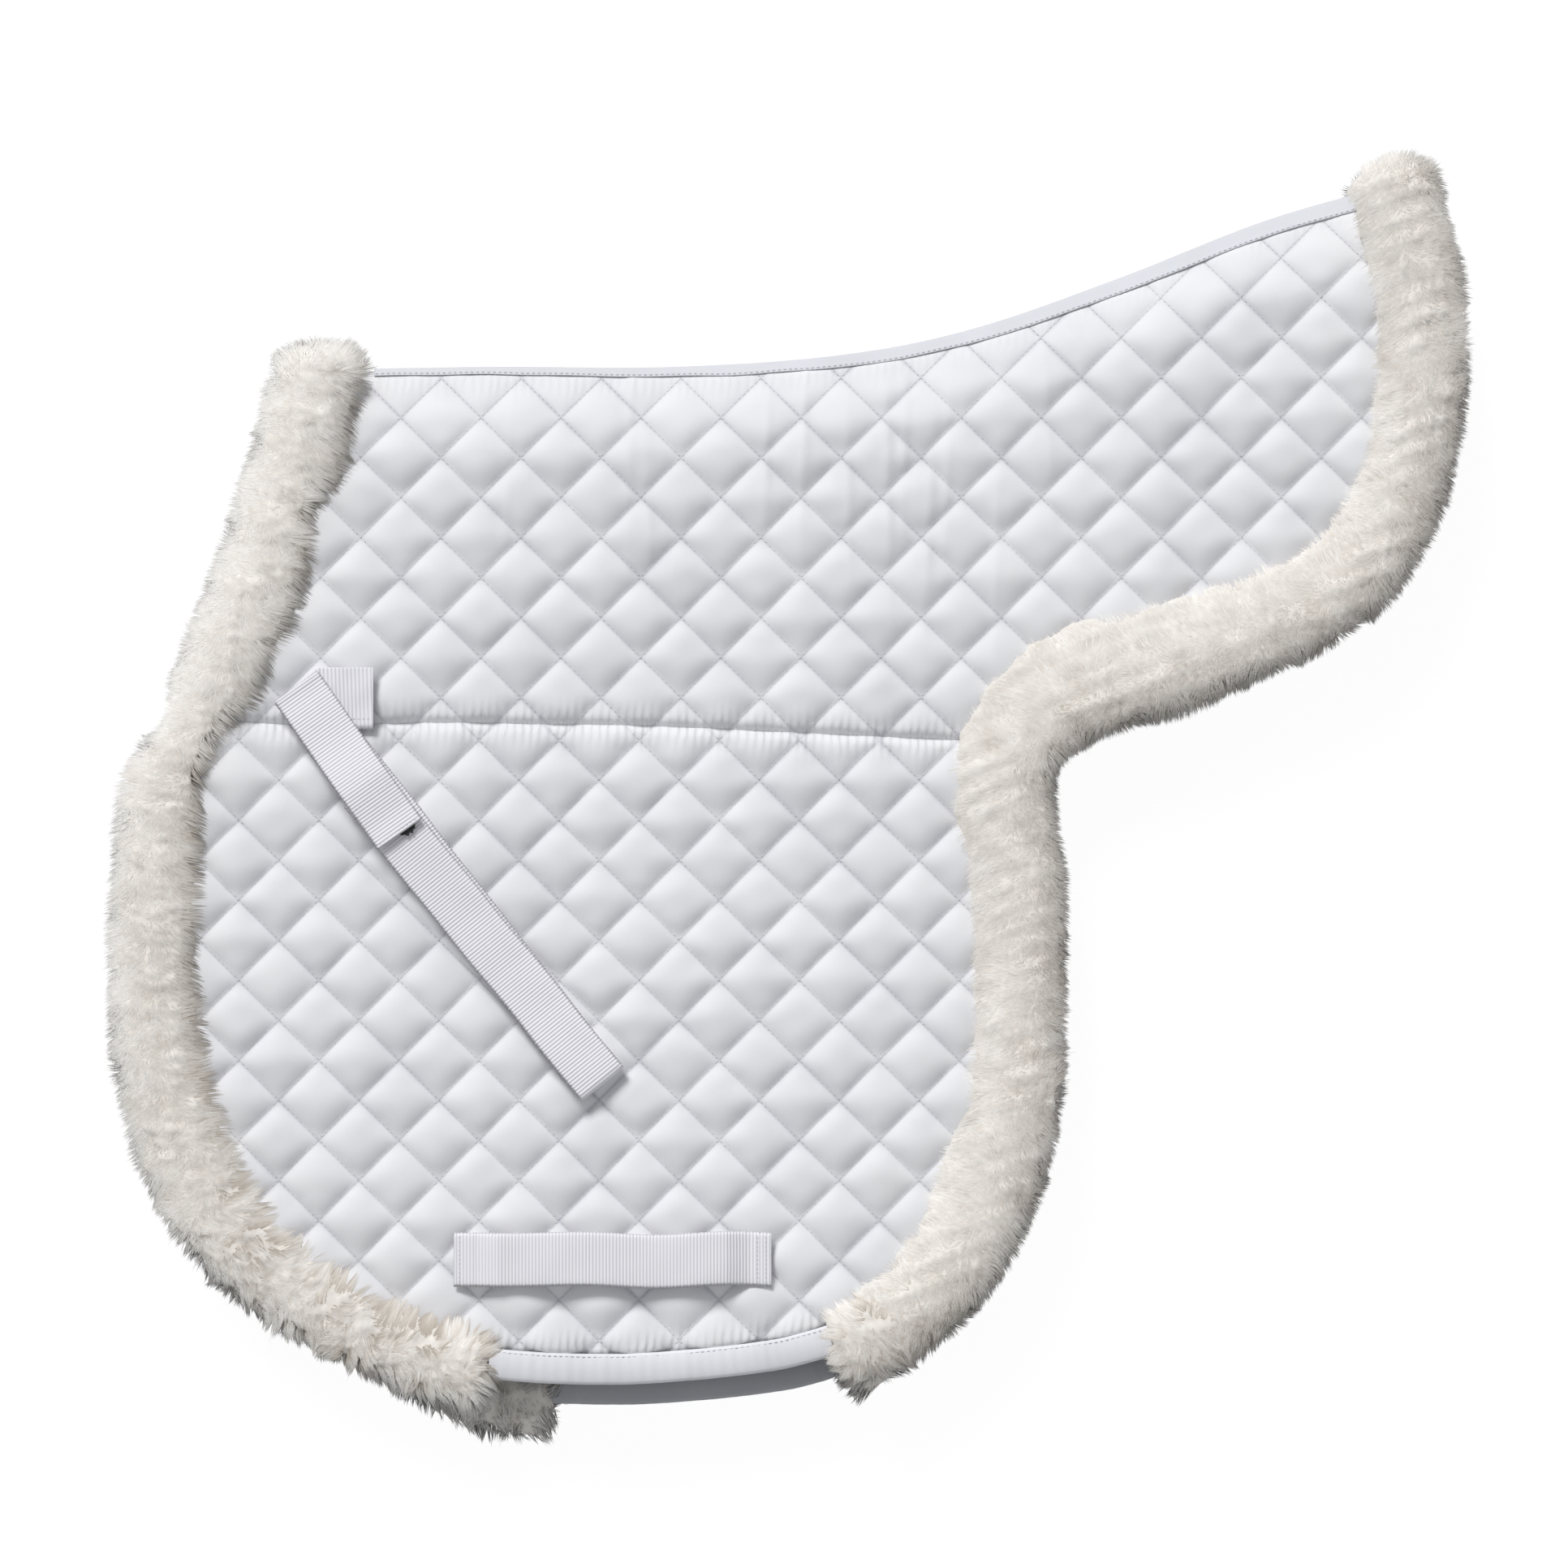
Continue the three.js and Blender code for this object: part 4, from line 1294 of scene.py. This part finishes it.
        # Painted shade: in the shaggy part, locks far from their clump's middle are coloured darker, for the
        # shade between clumps.
        tone -= 0.6 * shag * (apart - 0.5)
        note_values(piece, "tone", np.repeat(np.clip(tone, -0.8, 1.2), 7))
        return piece

    def pressed(self, heights: Array) -> Array:
        """Heights held between the fold plane and the roll's top, or the floor under the off side."""
        top = 2 * self.half_height + (2.6 if self.side is Side.NEAR else -0.1)
        eased = np.where(heights > top - 3, top - 3 + 3 * np.tanh((heights - top + 3) / 3), heights)
        return np.where(eased < 1.2, 0.1 + 1.1 * np.exp((np.minimum(eased, 1.2) - 1.2) / 1.1), eased)

    def comb(
        self, root: Array, normal: Array, run: Array, angle: Array, reach: Array, shag: Array,
    ) -> tuple[Array, Array]:
        """Which way the locks lean.

        Args:
            root: The locks' roots.
            normal: The directions out of the roll.
            run: The directions along the roll.
            angle: The angles round the roll.
            reach: The locks' lengths.
            shag: From 0 to 1, where the pile is long and loose.

        Returns:
            The locks' tips, and the points that they bend towards.
        """
        side = unit(np.cross(normal, run))
        swirl = 2.2 * ripple(root, 40, self.seed + 7) + 0.8 * ripple(root, 13, self.seed + 8)
        lean = 0.42 + 0.22 * ripple(root, 19, self.seed + 9) + 0.2 * shag
        over = smooth(np.sin(angle) / 0.3) * smooth((-np.cos(angle) - 0.1) / 0.5)
        flow = unit(run * np.cos(swirl)[:, None] + side * np.sin(swirl)[:, None])
        out = unit(np.column_stack([normal[:, :2], np.zeros(len(normal))]))
        hang = np.array([0.0, -0.3, -0.2]) * (1 + 0.3 * shag)[:, None]
        flow = unit(flow + out * (1.6 * over)[:, None] + hang)
        flow = unit(flow - normal * (flow * normal).sum(1)[:, None])
        lean = lean + 0.25 * over
        direction = unit(normal * np.cos(lean)[:, None] + flow * np.sin(lean)[:, None])
        direction[:, 2] *= self.flatness
        tips = root + direction * reach[:, None] + out * (self.spread * over)[:, None]
        early = unit(normal * 1.3 + flow * 0.35) * np.array([1, 1, self.flatness])
        return tips, root + early * (0.5 * reach)[:, None]

    def clump(self, root: Array, tips: Array, draw: np.random.Generator, shag: Array) -> tuple[Array, Array]:
        """Draws neighbouring tips together.

        Args:
            root: The locks' roots.
            tips: Their tips.
            draw: The source of random numbers.
            shag: From 0 to 1, where the pile is long and loose.

        Returns:
            The moved tips, and how far each lock stands from the middle of its clump, 1 being usual.
        """
        leaders = draw.choice(len(root), len(root) // self.clump_size, replace=False)
        tree = KDTree(len(leaders))
        for i in leaders:
            tree.insert(root[i], int(i))
        tree.balance()
        leader = np.array([tree.find(place)[1] for place in root.tolist()])
        apart = np.linalg.norm(root - root[leader], axis=1)
        pull = (0.2 + 0.5 * shag + draw.uniform(-0.1, 0.15, len(root)))[:, None]
        drawn = tips + (tips[leader] - tips) * pull
        lengths = np.linalg.norm(tips - root, axis=1)[:, None]
        return root + unit(drawn - root) * lengths * (0.9 + 0.1 * (1 - pull)), apart / apart.mean()

    @staticmethod
    def lock_shapes(
        root: Array, tips: Array, bend: Array, radius: Array, soft: Array, draw: np.random.Generator,
    ) -> tuple[Array, Array, list]:
        """Three-sided tapered locks, each closed at its root.

        Args:
            root: The locks' roots.
            tips: Their tips.
            bend: The points that they bend towards.
            radius: Their root radii.
            soft: The direction that each lock as a whole is shaded by.
            draw: The source of random numbers.

        Returns:
            Vertices, seven to a lock, their shading directions, and the faces.
        """
        axis = unit(tips - root)
        first = unit(np.cross(axis, unit(draw.normal(size=root.shape))))
        second = np.cross(axis, first)
        rings, shine = [], []
        for t, size in ((0.0, 0.85), (0.55, 1.0)):
            centre = root * (1 - t) ** 2 + bend * (2 * t * (1 - t)) + tips * t**2
            for k in range(3):
                turn = 2 * np.pi * k / 3
                away = first * math.cos(turn) + second * math.sin(turn)
                rings.append(centre + away * (radius * size)[:, None])
                shine.append(unit(soft + 0.22 * away + 0.12 * axis))
        shape = np.stack([*rings, tips], 1).reshape(-1, 3)
        normals = np.stack([*shine, unit(soft + 0.4 * axis)], 1).reshape(-1, 3)
        start = np.arange(len(root))[:, None, None] * 7
        quads = np.array([(k, (k + 1) % 3, 3 + (k + 1) % 3, 3 + k) for k in range(3)])
        ends = np.array([(3, 4, 6), (4, 5, 6), (5, 3, 6), (2, 1, 0)])
        return shape, normals, [(start + ends).reshape(-1, 3), (start + quads).reshape(-1, 4)]

    def build(self) -> list[bpy.types.Object]:
        """Makes the core and the pile."""
        core, pile = self.core(), self.locks()
        pile.visible_shadow = False
        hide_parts(*self.nodes)
        for piece in (core, pile):
            CUT.carry(piece, self.side, crosses_fold=True)
        return [core, pile]


# ---------------------------------------------------------------- webbing


@dataclass
class Ribbon:
    """Ribbed webbing swept along a side profile, with a rounded selvedge on both edges."""

    start: tuple
    heading: tuple
    width: float = 29.0
    thickness: float = 1.25
    rib: float = 1.8
    sag: float = 0.7
    sway: float = 0.3

    def build(
        self, name: str, profile: list[tuple[float, float]], side: Side, finish: bpy.types.Material,
        drift: float = 0.0, seed: int = 0,
    ) -> bpy.types.Object:
        """Makes the webbing.

        Args:
            name: The piece's name.
            profile: Distances along the heading and heights of the webbing's middle.
            side: The side that it lies on.
            finish: Its material.
            drift: How far the profile's first point is off the centreline.
            seed: Chooses its small waviness.

        Returns:
            The piece.
        """
        path = np.asarray(profile, float)
        count = int(line_length(path) / 0.9) + 1
        path = resample(path, count)
        along = np.linspace(0, line_length(path), count)
        run = unit(np.gradient(path, axis=0))
        normal = np.stack([-run[:, 1], run[:, 0]], 1)
        across = np.concatenate([np.linspace(-1, 1, 17), np.linspace(1, -1, 17)[1:-1]])
        face = np.concatenate([np.ones(17), -np.ones(15)])
        half = self.width / 2
        heading = unit(np.array(self.heading, float)[None])[0]
        sideways = np.array([-heading[1], heading[0]])
        origin = np.array(self.start, float)
        rings = []
        for w, f in zip(across, face):
            edge = 1 - np.abs(w) ** 8
            selvedge = 0.16 * hump(np.abs(w), 0.93, 0.045)
            lift = f * edge * (self.thickness / 2 - 0.1 + selvedge)
            sway = self.sway * ripple(along[:, None], 90, seed + 1)
            free = smooth(along / 14) * smooth((along[-1] - along) / 14)
            dip = self.sag * ripple(along[:, None], 62, seed + 2) * free
            dip = dip + 0.16 * ripple(np.column_stack([along, np.full(count, 22 * w)]), 38, seed + 3)
            off = w * (half + 0.12 * np.sin(2 * np.pi * along / 3.4)) + sway
            off = off + drift * (1 - smooth(along / along[-1] * 2))
            spot = path + normal * (lift + dip)[:, None]
            place = origin + np.outer(spot[:, 0], heading) + np.outer(off, sideways)
            rings.append(np.column_stack([place, spot[:, 1]]))
        piece = tube_piece(name, np.stack(rings, 1), side, finish)
        note_values(piece, "rib", np.repeat(along / self.rib, len(rings)))
        return piece


def arc(
    centre: tuple[float, float], radius: float, start: float, end: float, count: int = 9,
) -> list[tuple[float, float]]:
    """Points on an arc between two angles in degrees."""
    return [
        (centre[0] + radius * math.cos(math.radians(t)), centre[1] + radius * math.sin(math.radians(t)))
        for t in np.linspace(start, end, count)
    ]


@dataclass
class BilletStrap:
    """The strap that holds the saddle's billets: an anchor, a peeling tab and a doubled lower strap."""

    side: Side
    finishes: Finishes
    fold_end: tuple = (-98.7, -151.8)
    strap_run: tuple = (-0.629, 0.778)
    tab_start: tuple = (-263.0, 61.0)
    tab_run: tuple = (0.577, -0.817)
    strap_length: float = 202.0
    under_length: float = 238.0
    tab_length: float = 97.0
    patch: float = 28.0

    def height(self, node: str, top: bool = False) -> float:
        """The height above the fold plane of a CAD node's face that is nearest it, or furthest from it."""
        low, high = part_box(f"near_{node}")
        return (high.z if top else low.z) / MM - CUT.levels()[0]

    def build(self) -> list[bpy.types.Object]:
        """Makes the whole strap."""
        return [self.strap(), self.tab(), self.anchor(), *self.patches(), *self.sewing()]

    def strap(self) -> bpy.types.Object:
        """The lower strap: its under layer, the turn at its end, and its upper layer."""
        under = self.height("strap_under") + 0.6
        upper = self.height("strap_loop") + 0.6
        radius = (upper - under - 0.2) / 2
        profile = [
            (self.under_length, under), (140, under), (60, under), (25, under + 0.1),
            (radius + 3, under + 0.2),
        ]
        profile += arc((radius + 0.2, under + 0.2 + radius), radius, 270, 90)
        profile += [
            (radius + 6, upper), (26, upper - 0.4), (50, upper - 1.7), (80, upper - 2.5), (115, upper - 2.5),
            (145, upper - 1.6), (170, upper - 0.5), (185, upper), (self.strap_length, upper),
        ]
        ribbon = Ribbon(self.fold_end, self.strap_run, sag=0.22)
        piece = ribbon.build(
            f"{self.side.word}_strap_webbing", profile, self.side, self.finishes.webbing, drift=-3.0, seed=51)
        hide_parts(f"{self.side.word}_strap_under", f"{self.side.word}_strap_loop")
        x, y, z = CUT.to_row(np.array([self.fold_end]), np.array([0.0]), self.side)[0]
        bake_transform(piece)
        return piece

    def tab(self) -> bpy.types.Object:
        """The diagonal tab, which peels up from the anchor's folded edge."""
        low = self.height("closure_tab") + 0.6
        high = self.height("closure_tab", top=True) - 0.6
        profile = arc((0.9, low + 0.1), 0.5, 215, 120, 4) + [
            (4, low + 0.15), (9, low + 0.3), (28, (low * 2 + high) / 3 + 0.2), (48, (low + high * 2.6) / 3.6),
            (64, high), (80, high + 0.1), (self.tab_length, high),
        ]
        piece = Ribbon(self.tab_start, self.tab_run).build(
            f"{self.side.word}_tab_webbing", profile, self.side, self.finishes.webbing, seed=61)
        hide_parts(f"{self.side.word}_closure_tab")
        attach(piece, f"{self.side.word}_strap_tab")
        return piece

    def anchor(self) -> bpy.types.Object:
        """The upright webbing sewn into the seam, with the triangle that folds under the tab."""
        level = self.height("strap_anchor") + 0.6
        grid = (60, 48)
        u, v = (g.ravel() for g in np.meshgrid(*(np.linspace(0, 1, n) for n in grid), indexing="ij"))
        left = np.where(v < 0.433, -250 - (v / 0.433) * 25.3, -275.3 + (v - 0.433) / 0.567 * 24.3)
        x = left + (-221.5 - left) * u
        y = 38 + 33 * v - 0.8 * np.sin(np.pi * v) * (1 - u)
        sink = 2.4 * smooth((40.5 - y) / 4.5)
        height = level + 0.6 + 0.35 * ripple(np.column_stack([x, y]), 22, 71) - sink
        upper = np.column_stack([x, y, height])
        lower = np.column_stack([x, y, level - 0.55 - sink])
        name = f"{self.side.word}_anchor_webbing"
        piece = slab_piece(name, grid, upper, lower, self.side, self.finishes.webbing)
        note_values(piece, "rib", np.tile((x + 0.03 * y) / 2.1, 2))
        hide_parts(f"{self.side.word}_strap_anchor", f"{self.side.word}_anchor_tack")
        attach(piece, f"{self.side.word}_side")
        return piece

    def patches(self) -> list[bpy.types.Object]:
        """The hook tape under the tab's end and the loop tape on the strap's."""
        made = []
        for word, start, run, reach, body in (
            ("hook_tape", self.tab_start, self.tab_run, self.tab_length, "strap_tab"),
            ("loop_tape", self.fold_end, self.strap_run, self.strap_length, "strap_loop"),
        ):
            is_hook = word == "hook_tape"
            low, high = self.height(word), self.height(word, top=True)
            level, sign = (low + 0.25, -1) if is_hook else (high - 0.25, 1)
            piece = self.patch_mesh(word, start, run, reach, (low + high) / 2, level, sign)
            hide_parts(f"{self.side.word}_{word}")
            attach(piece, f"{self.side.word}_{body}")
            made.append(piece)
        return made

    def patch_mesh(
        self, word: str, start: tuple, run: tuple, reach: float, middle: float, level: float, sign: int,
    ) -> bpy.types.Object:
        """One tape patch: a thin base with rows of tiny hooks or loops on its working face.

        Args:
            word: Which tape it is.
            start: The pattern point that its webbing starts from.
            run: The direction that its webbing runs in.
            reach: How far from the start its end lies.
            middle: The height of its back.
            level: The height of its working face.
            sign: 1 if that face looks up, and -1 if down.

        Returns:
            The patch.
        """
        heading = np.array(run)
        sideways = np.array([-heading[1], heading[0]])
        frayed = word == "hook_tape"
        grid = (40, 36)
        s = np.linspace(reach - self.patch, reach - 0.6, grid[0])
        w = np.linspace(-13, 13, grid[1])
        s, w = (g.ravel() for g in np.meshgrid(s, w, indexing="ij"))
        if frayed:
            tongue = np.exp(-(((w - 5.0) / 4.4) ** 4)) * smooth((s - reach + 9) / 8)
            s = s + 3.4 * tongue * (1 + 0.25 * np.sin(2.3 * w))
        place = np.array(start) + np.outer(s, heading) + np.outer(w, sideways)
        bumps = 0.22 * np.abs(np.sin(np.pi * s / 1.4) * np.sin(np.pi * w / 1.4))
        worked = np.column_stack([place, level + sign * bumps])
        back = np.column_stack([place, np.full(len(place), middle)])
        finish = self.finishes.hook if frayed else self.finishes.loop
        return slab_piece(f"{self.side.word}_{word}_patch", grid, worked, back, self.side, finish)

    def sewing(self) -> list[bpy.types.Object]:
        """Stitch rows across the tab's end and the anchor."""
        made = []
        heading = np.array(self.tab_run)
        sideways = np.array([-heading[1], heading[0]])
        top = self.height("closure_tab", top=True) + 0.12
        tab = Stitching(pitch=2.4, length=1.9, width=0.45, height=0.35)
        for s in (self.tab_length - 2.2, self.tab_length - 24.5):
            ends = np.array([np.array(self.tab_start) + heading * s + sideways * w for w in (-12.5, 12.5)])
            tab.row(CUT.to_row(ends, np.array([top, top]), self.side))
        made.append(tab.piece(f"{self.side.word}_tab_stitches", self.finishes.thread))
        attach(made[-1], f"{self.side.word}_strap_tab")
        anchor = Stitching(pitch=2.4, length=1.9, width=0.45, height=0.35)
        level = self.height("strap_anchor", top=True) + 0.2
        ends = np.array([(-248.0, 43.5), (-223.0, 43.5)])
        anchor.row(CUT.to_row(ends, np.array([level, level]), self.side))
        made.append(anchor.piece(f"{self.side.word}_anchor_stitches", self.finishes.thread))
        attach(made[-1], f"{self.side.word}_side")
        return made


@dataclass
class GirthKeeper:
    """The webbing loop near the bottom edge that the girth passes under."""

    side: Side
    finishes: Finishes
    centre: tuple = (-93.5, -245.8)
    half: float = 85.0

    def build(self) -> list[bpy.types.Object]:
        """Makes the keeper and its end stitching."""
        low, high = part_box("near_girth_keeper")
        middle = CUT.levels()[0]
        seat, crown = low.z / MM - middle + 0.6, high.z / MM - middle - 0.6
        half = self.half
        profile = [
            (-half, seat), (-half + 12, seat + 0.1), (-half + 24, crown - 0.5), (-half + 40, crown - 0.2),
            (0, crown),
            (half - 40, crown - 0.2), (half - 24, crown - 0.5), (half - 12, seat + 0.1), (half, seat),
        ]
        keeper = Ribbon(self.centre, (1.0, 0.0), sag=1.1, sway=0.8).build(
            f"{self.side.word}_keeper_webbing", profile, self.side, self.finishes.webbing, seed=81)
        word = self.side.word
        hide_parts(f"{word}_girth_keeper")
        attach(keeper, f"{word}_side")
        sewing = Stitching(pitch=2.2, length=1.8, width=0.5, height=0.4)
        for x in (-half + 3.0, -half + 7.5, half - 7.5, half - 3.0):
            ends = np.array([(self.centre[0] + x, self.centre[1] + y) for y in (-13.0, 13.0)])
            sewing.row(CUT.to_row(ends, np.full(2, seat + 0.75), self.side))
        stitches = sewing.piece(f"{word}_keeper_stitches", self.finishes.thread)
        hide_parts(f"{word}_keeper_front_tack", f"{word}_keeper_rear_tack")
        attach(stitches, f"{word}_side")
        return [keeper, stitches]


# ---------------------------------------------------------------- studio


@dataclass
class Studio:
    """White floor, soft light from above the spine, and a camera that looks straight down."""

    frame_width: float = 0.8404
    lens: float = 200.0
    sensor: float = 36.0
    centre: tuple = (-1.7, 8.7)
    key_strength: float = 2.35
    key_angle: float = 20.0
    key_from: tuple = (-0.40, 0.92, 0.78)
    sky: float = 0.42

    def build(self) -> None:
        """Makes the floor, the lights and the camera."""
        scene = bpy.context.scene
        scene.view_settings.view_transform = "Standard"
        self.floor()
        x, y = CUT.place()
        camera = bpy.data.objects.new("camera", bpy.data.cameras.new("camera"))
        camera.data.lens = self.lens
        camera.data.sensor_width = self.sensor
        camera.data.clip_end = 50
        distance = self.frame_width * self.lens / self.sensor
        camera.location = (self.centre[0] * MM + x, self.centre[1] * MM + y, distance + 0.05)
        scene.collection.objects.link(camera)
        scene.camera = camera
        sun = bpy.data.objects.new("key", bpy.data.lights.new("key", "SUN"))
        sun.data.energy = self.key_strength
        sun.data.angle = math.radians(self.key_angle)
        sun.rotation_euler = Vector(self.key_from).to_track_quat("Z", "Y").to_euler()
        scene.collection.objects.link(sun)
        world = bpy.data.worlds.new("sky")
        world.use_nodes = True
        world.node_tree.nodes["Background"].inputs["Color"].default_value = (0.97, 0.985, 1.0, 1)
        world.node_tree.nodes["Background"].inputs["Strength"].default_value = self.sky
        scene.world = world

    def floor(self) -> None:
        """A wide white floor under the pad."""
        half = 6.0
        corners = np.array([(x * half, y * half, -0.0004) for x, y in ((-1, -1), (1, -1), (1, 1), (-1, 1))])
        shading = Shading("studio_floor", 0.9)
        greys = [(0.3, (0.06, 0.06, 0.06)), (0.7, (0.08, 0.08, 0.08))]
        shading.colour(shading.ramp(shading.noise(3, 2), greys))
        shading.shader.inputs["Emission Color"].default_value = (1, 1, 1, 1)
        shading.shader.inputs["Emission Strength"].default_value = 0.95
        floor = mesh_piece("studio_floor", corners, [np.array([[0, 1, 2, 3]])], shading.material)
        floor.visible_diffuse = False


# ---------------------------------------------------------------- assembly


def report(pieces: list[bpy.types.Object]) -> None:
    """Logs each piece with its size."""
    for piece in pieces:
        log.info("%s: %d vertices, %d faces", piece.name, len(piece.data.vertices), len(piece.data.polygons))


def front_roll(side: Side, finishes: Finishes) -> FleeceRoll:
    """The roll along one side's front edge; the off side's shows little, so it is thinner and runs on."""
    is_near = side is Side.NEAR
    return FleeceRoll(
        side, Edge.FRONT,
        path=CUT.front if is_near else (*CUT.front, CUT.off_front_tail),
        width=55.0,
        nodes=("near_front_fleece", "near_withers_fleece") if is_near else ("off_front_fleece",),
        finishes=finishes, seed=11, density=0.62 * pile_share(side),
        lift=0.45, tone=0.27, sunlit=0.45, nod=0.45, shaggy_from=0.66,
    )


def rear_roll(side: Side, finishes: Finishes) -> FleeceRoll:
    """The roll along one side's rear edge."""
    return FleeceRoll(
        side, Edge.REAR, path=CUT.rear, width=50.0,
        nodes=("near_rear_fleece", "near_cantle_fleece") if side is Side.NEAR else ("off_rear_fleece",),
        finishes=finishes, seed=23, density=0.64 * pile_share(side),
        lift=0.75, tone=0.14, sunlit=-0.25, pile=11.5, base=5.6, spread=2.0, shaggy_from=0.88,
    )


def pile_share(side: Side) -> float:
    """How much of the full pile a side has: the off side is almost hidden."""
    return 1.0 if side is Side.NEAR else 0.4


def main() -> None:
    """Builds the pad, both sides, and the studio."""
    logging.basicConfig(level=logging.INFO, format="%(message)s")
    finishes = Finishes()
    Studio().build()
    for side in Side:
        is_near = side is Side.NEAR
        report(Quilt(side, "seat", (-185.7, 140.9), True, finishes).build())
        report(Quilt(side, "flap", (-100.9, 10.9), False, finishes).build())
        report(BottomBinding(side, finishes, start=-160.5 if is_near else -134.0).build())
        report(BilletStrap(side, finishes).build())
        report(GirthKeeper(side, finishes).build())
        report(front_roll(side, finishes).build())
        report(rear_roll(side, finishes).build())
    report(SpineBinding(finishes).build())


if __name__ == "__main__":
    main()
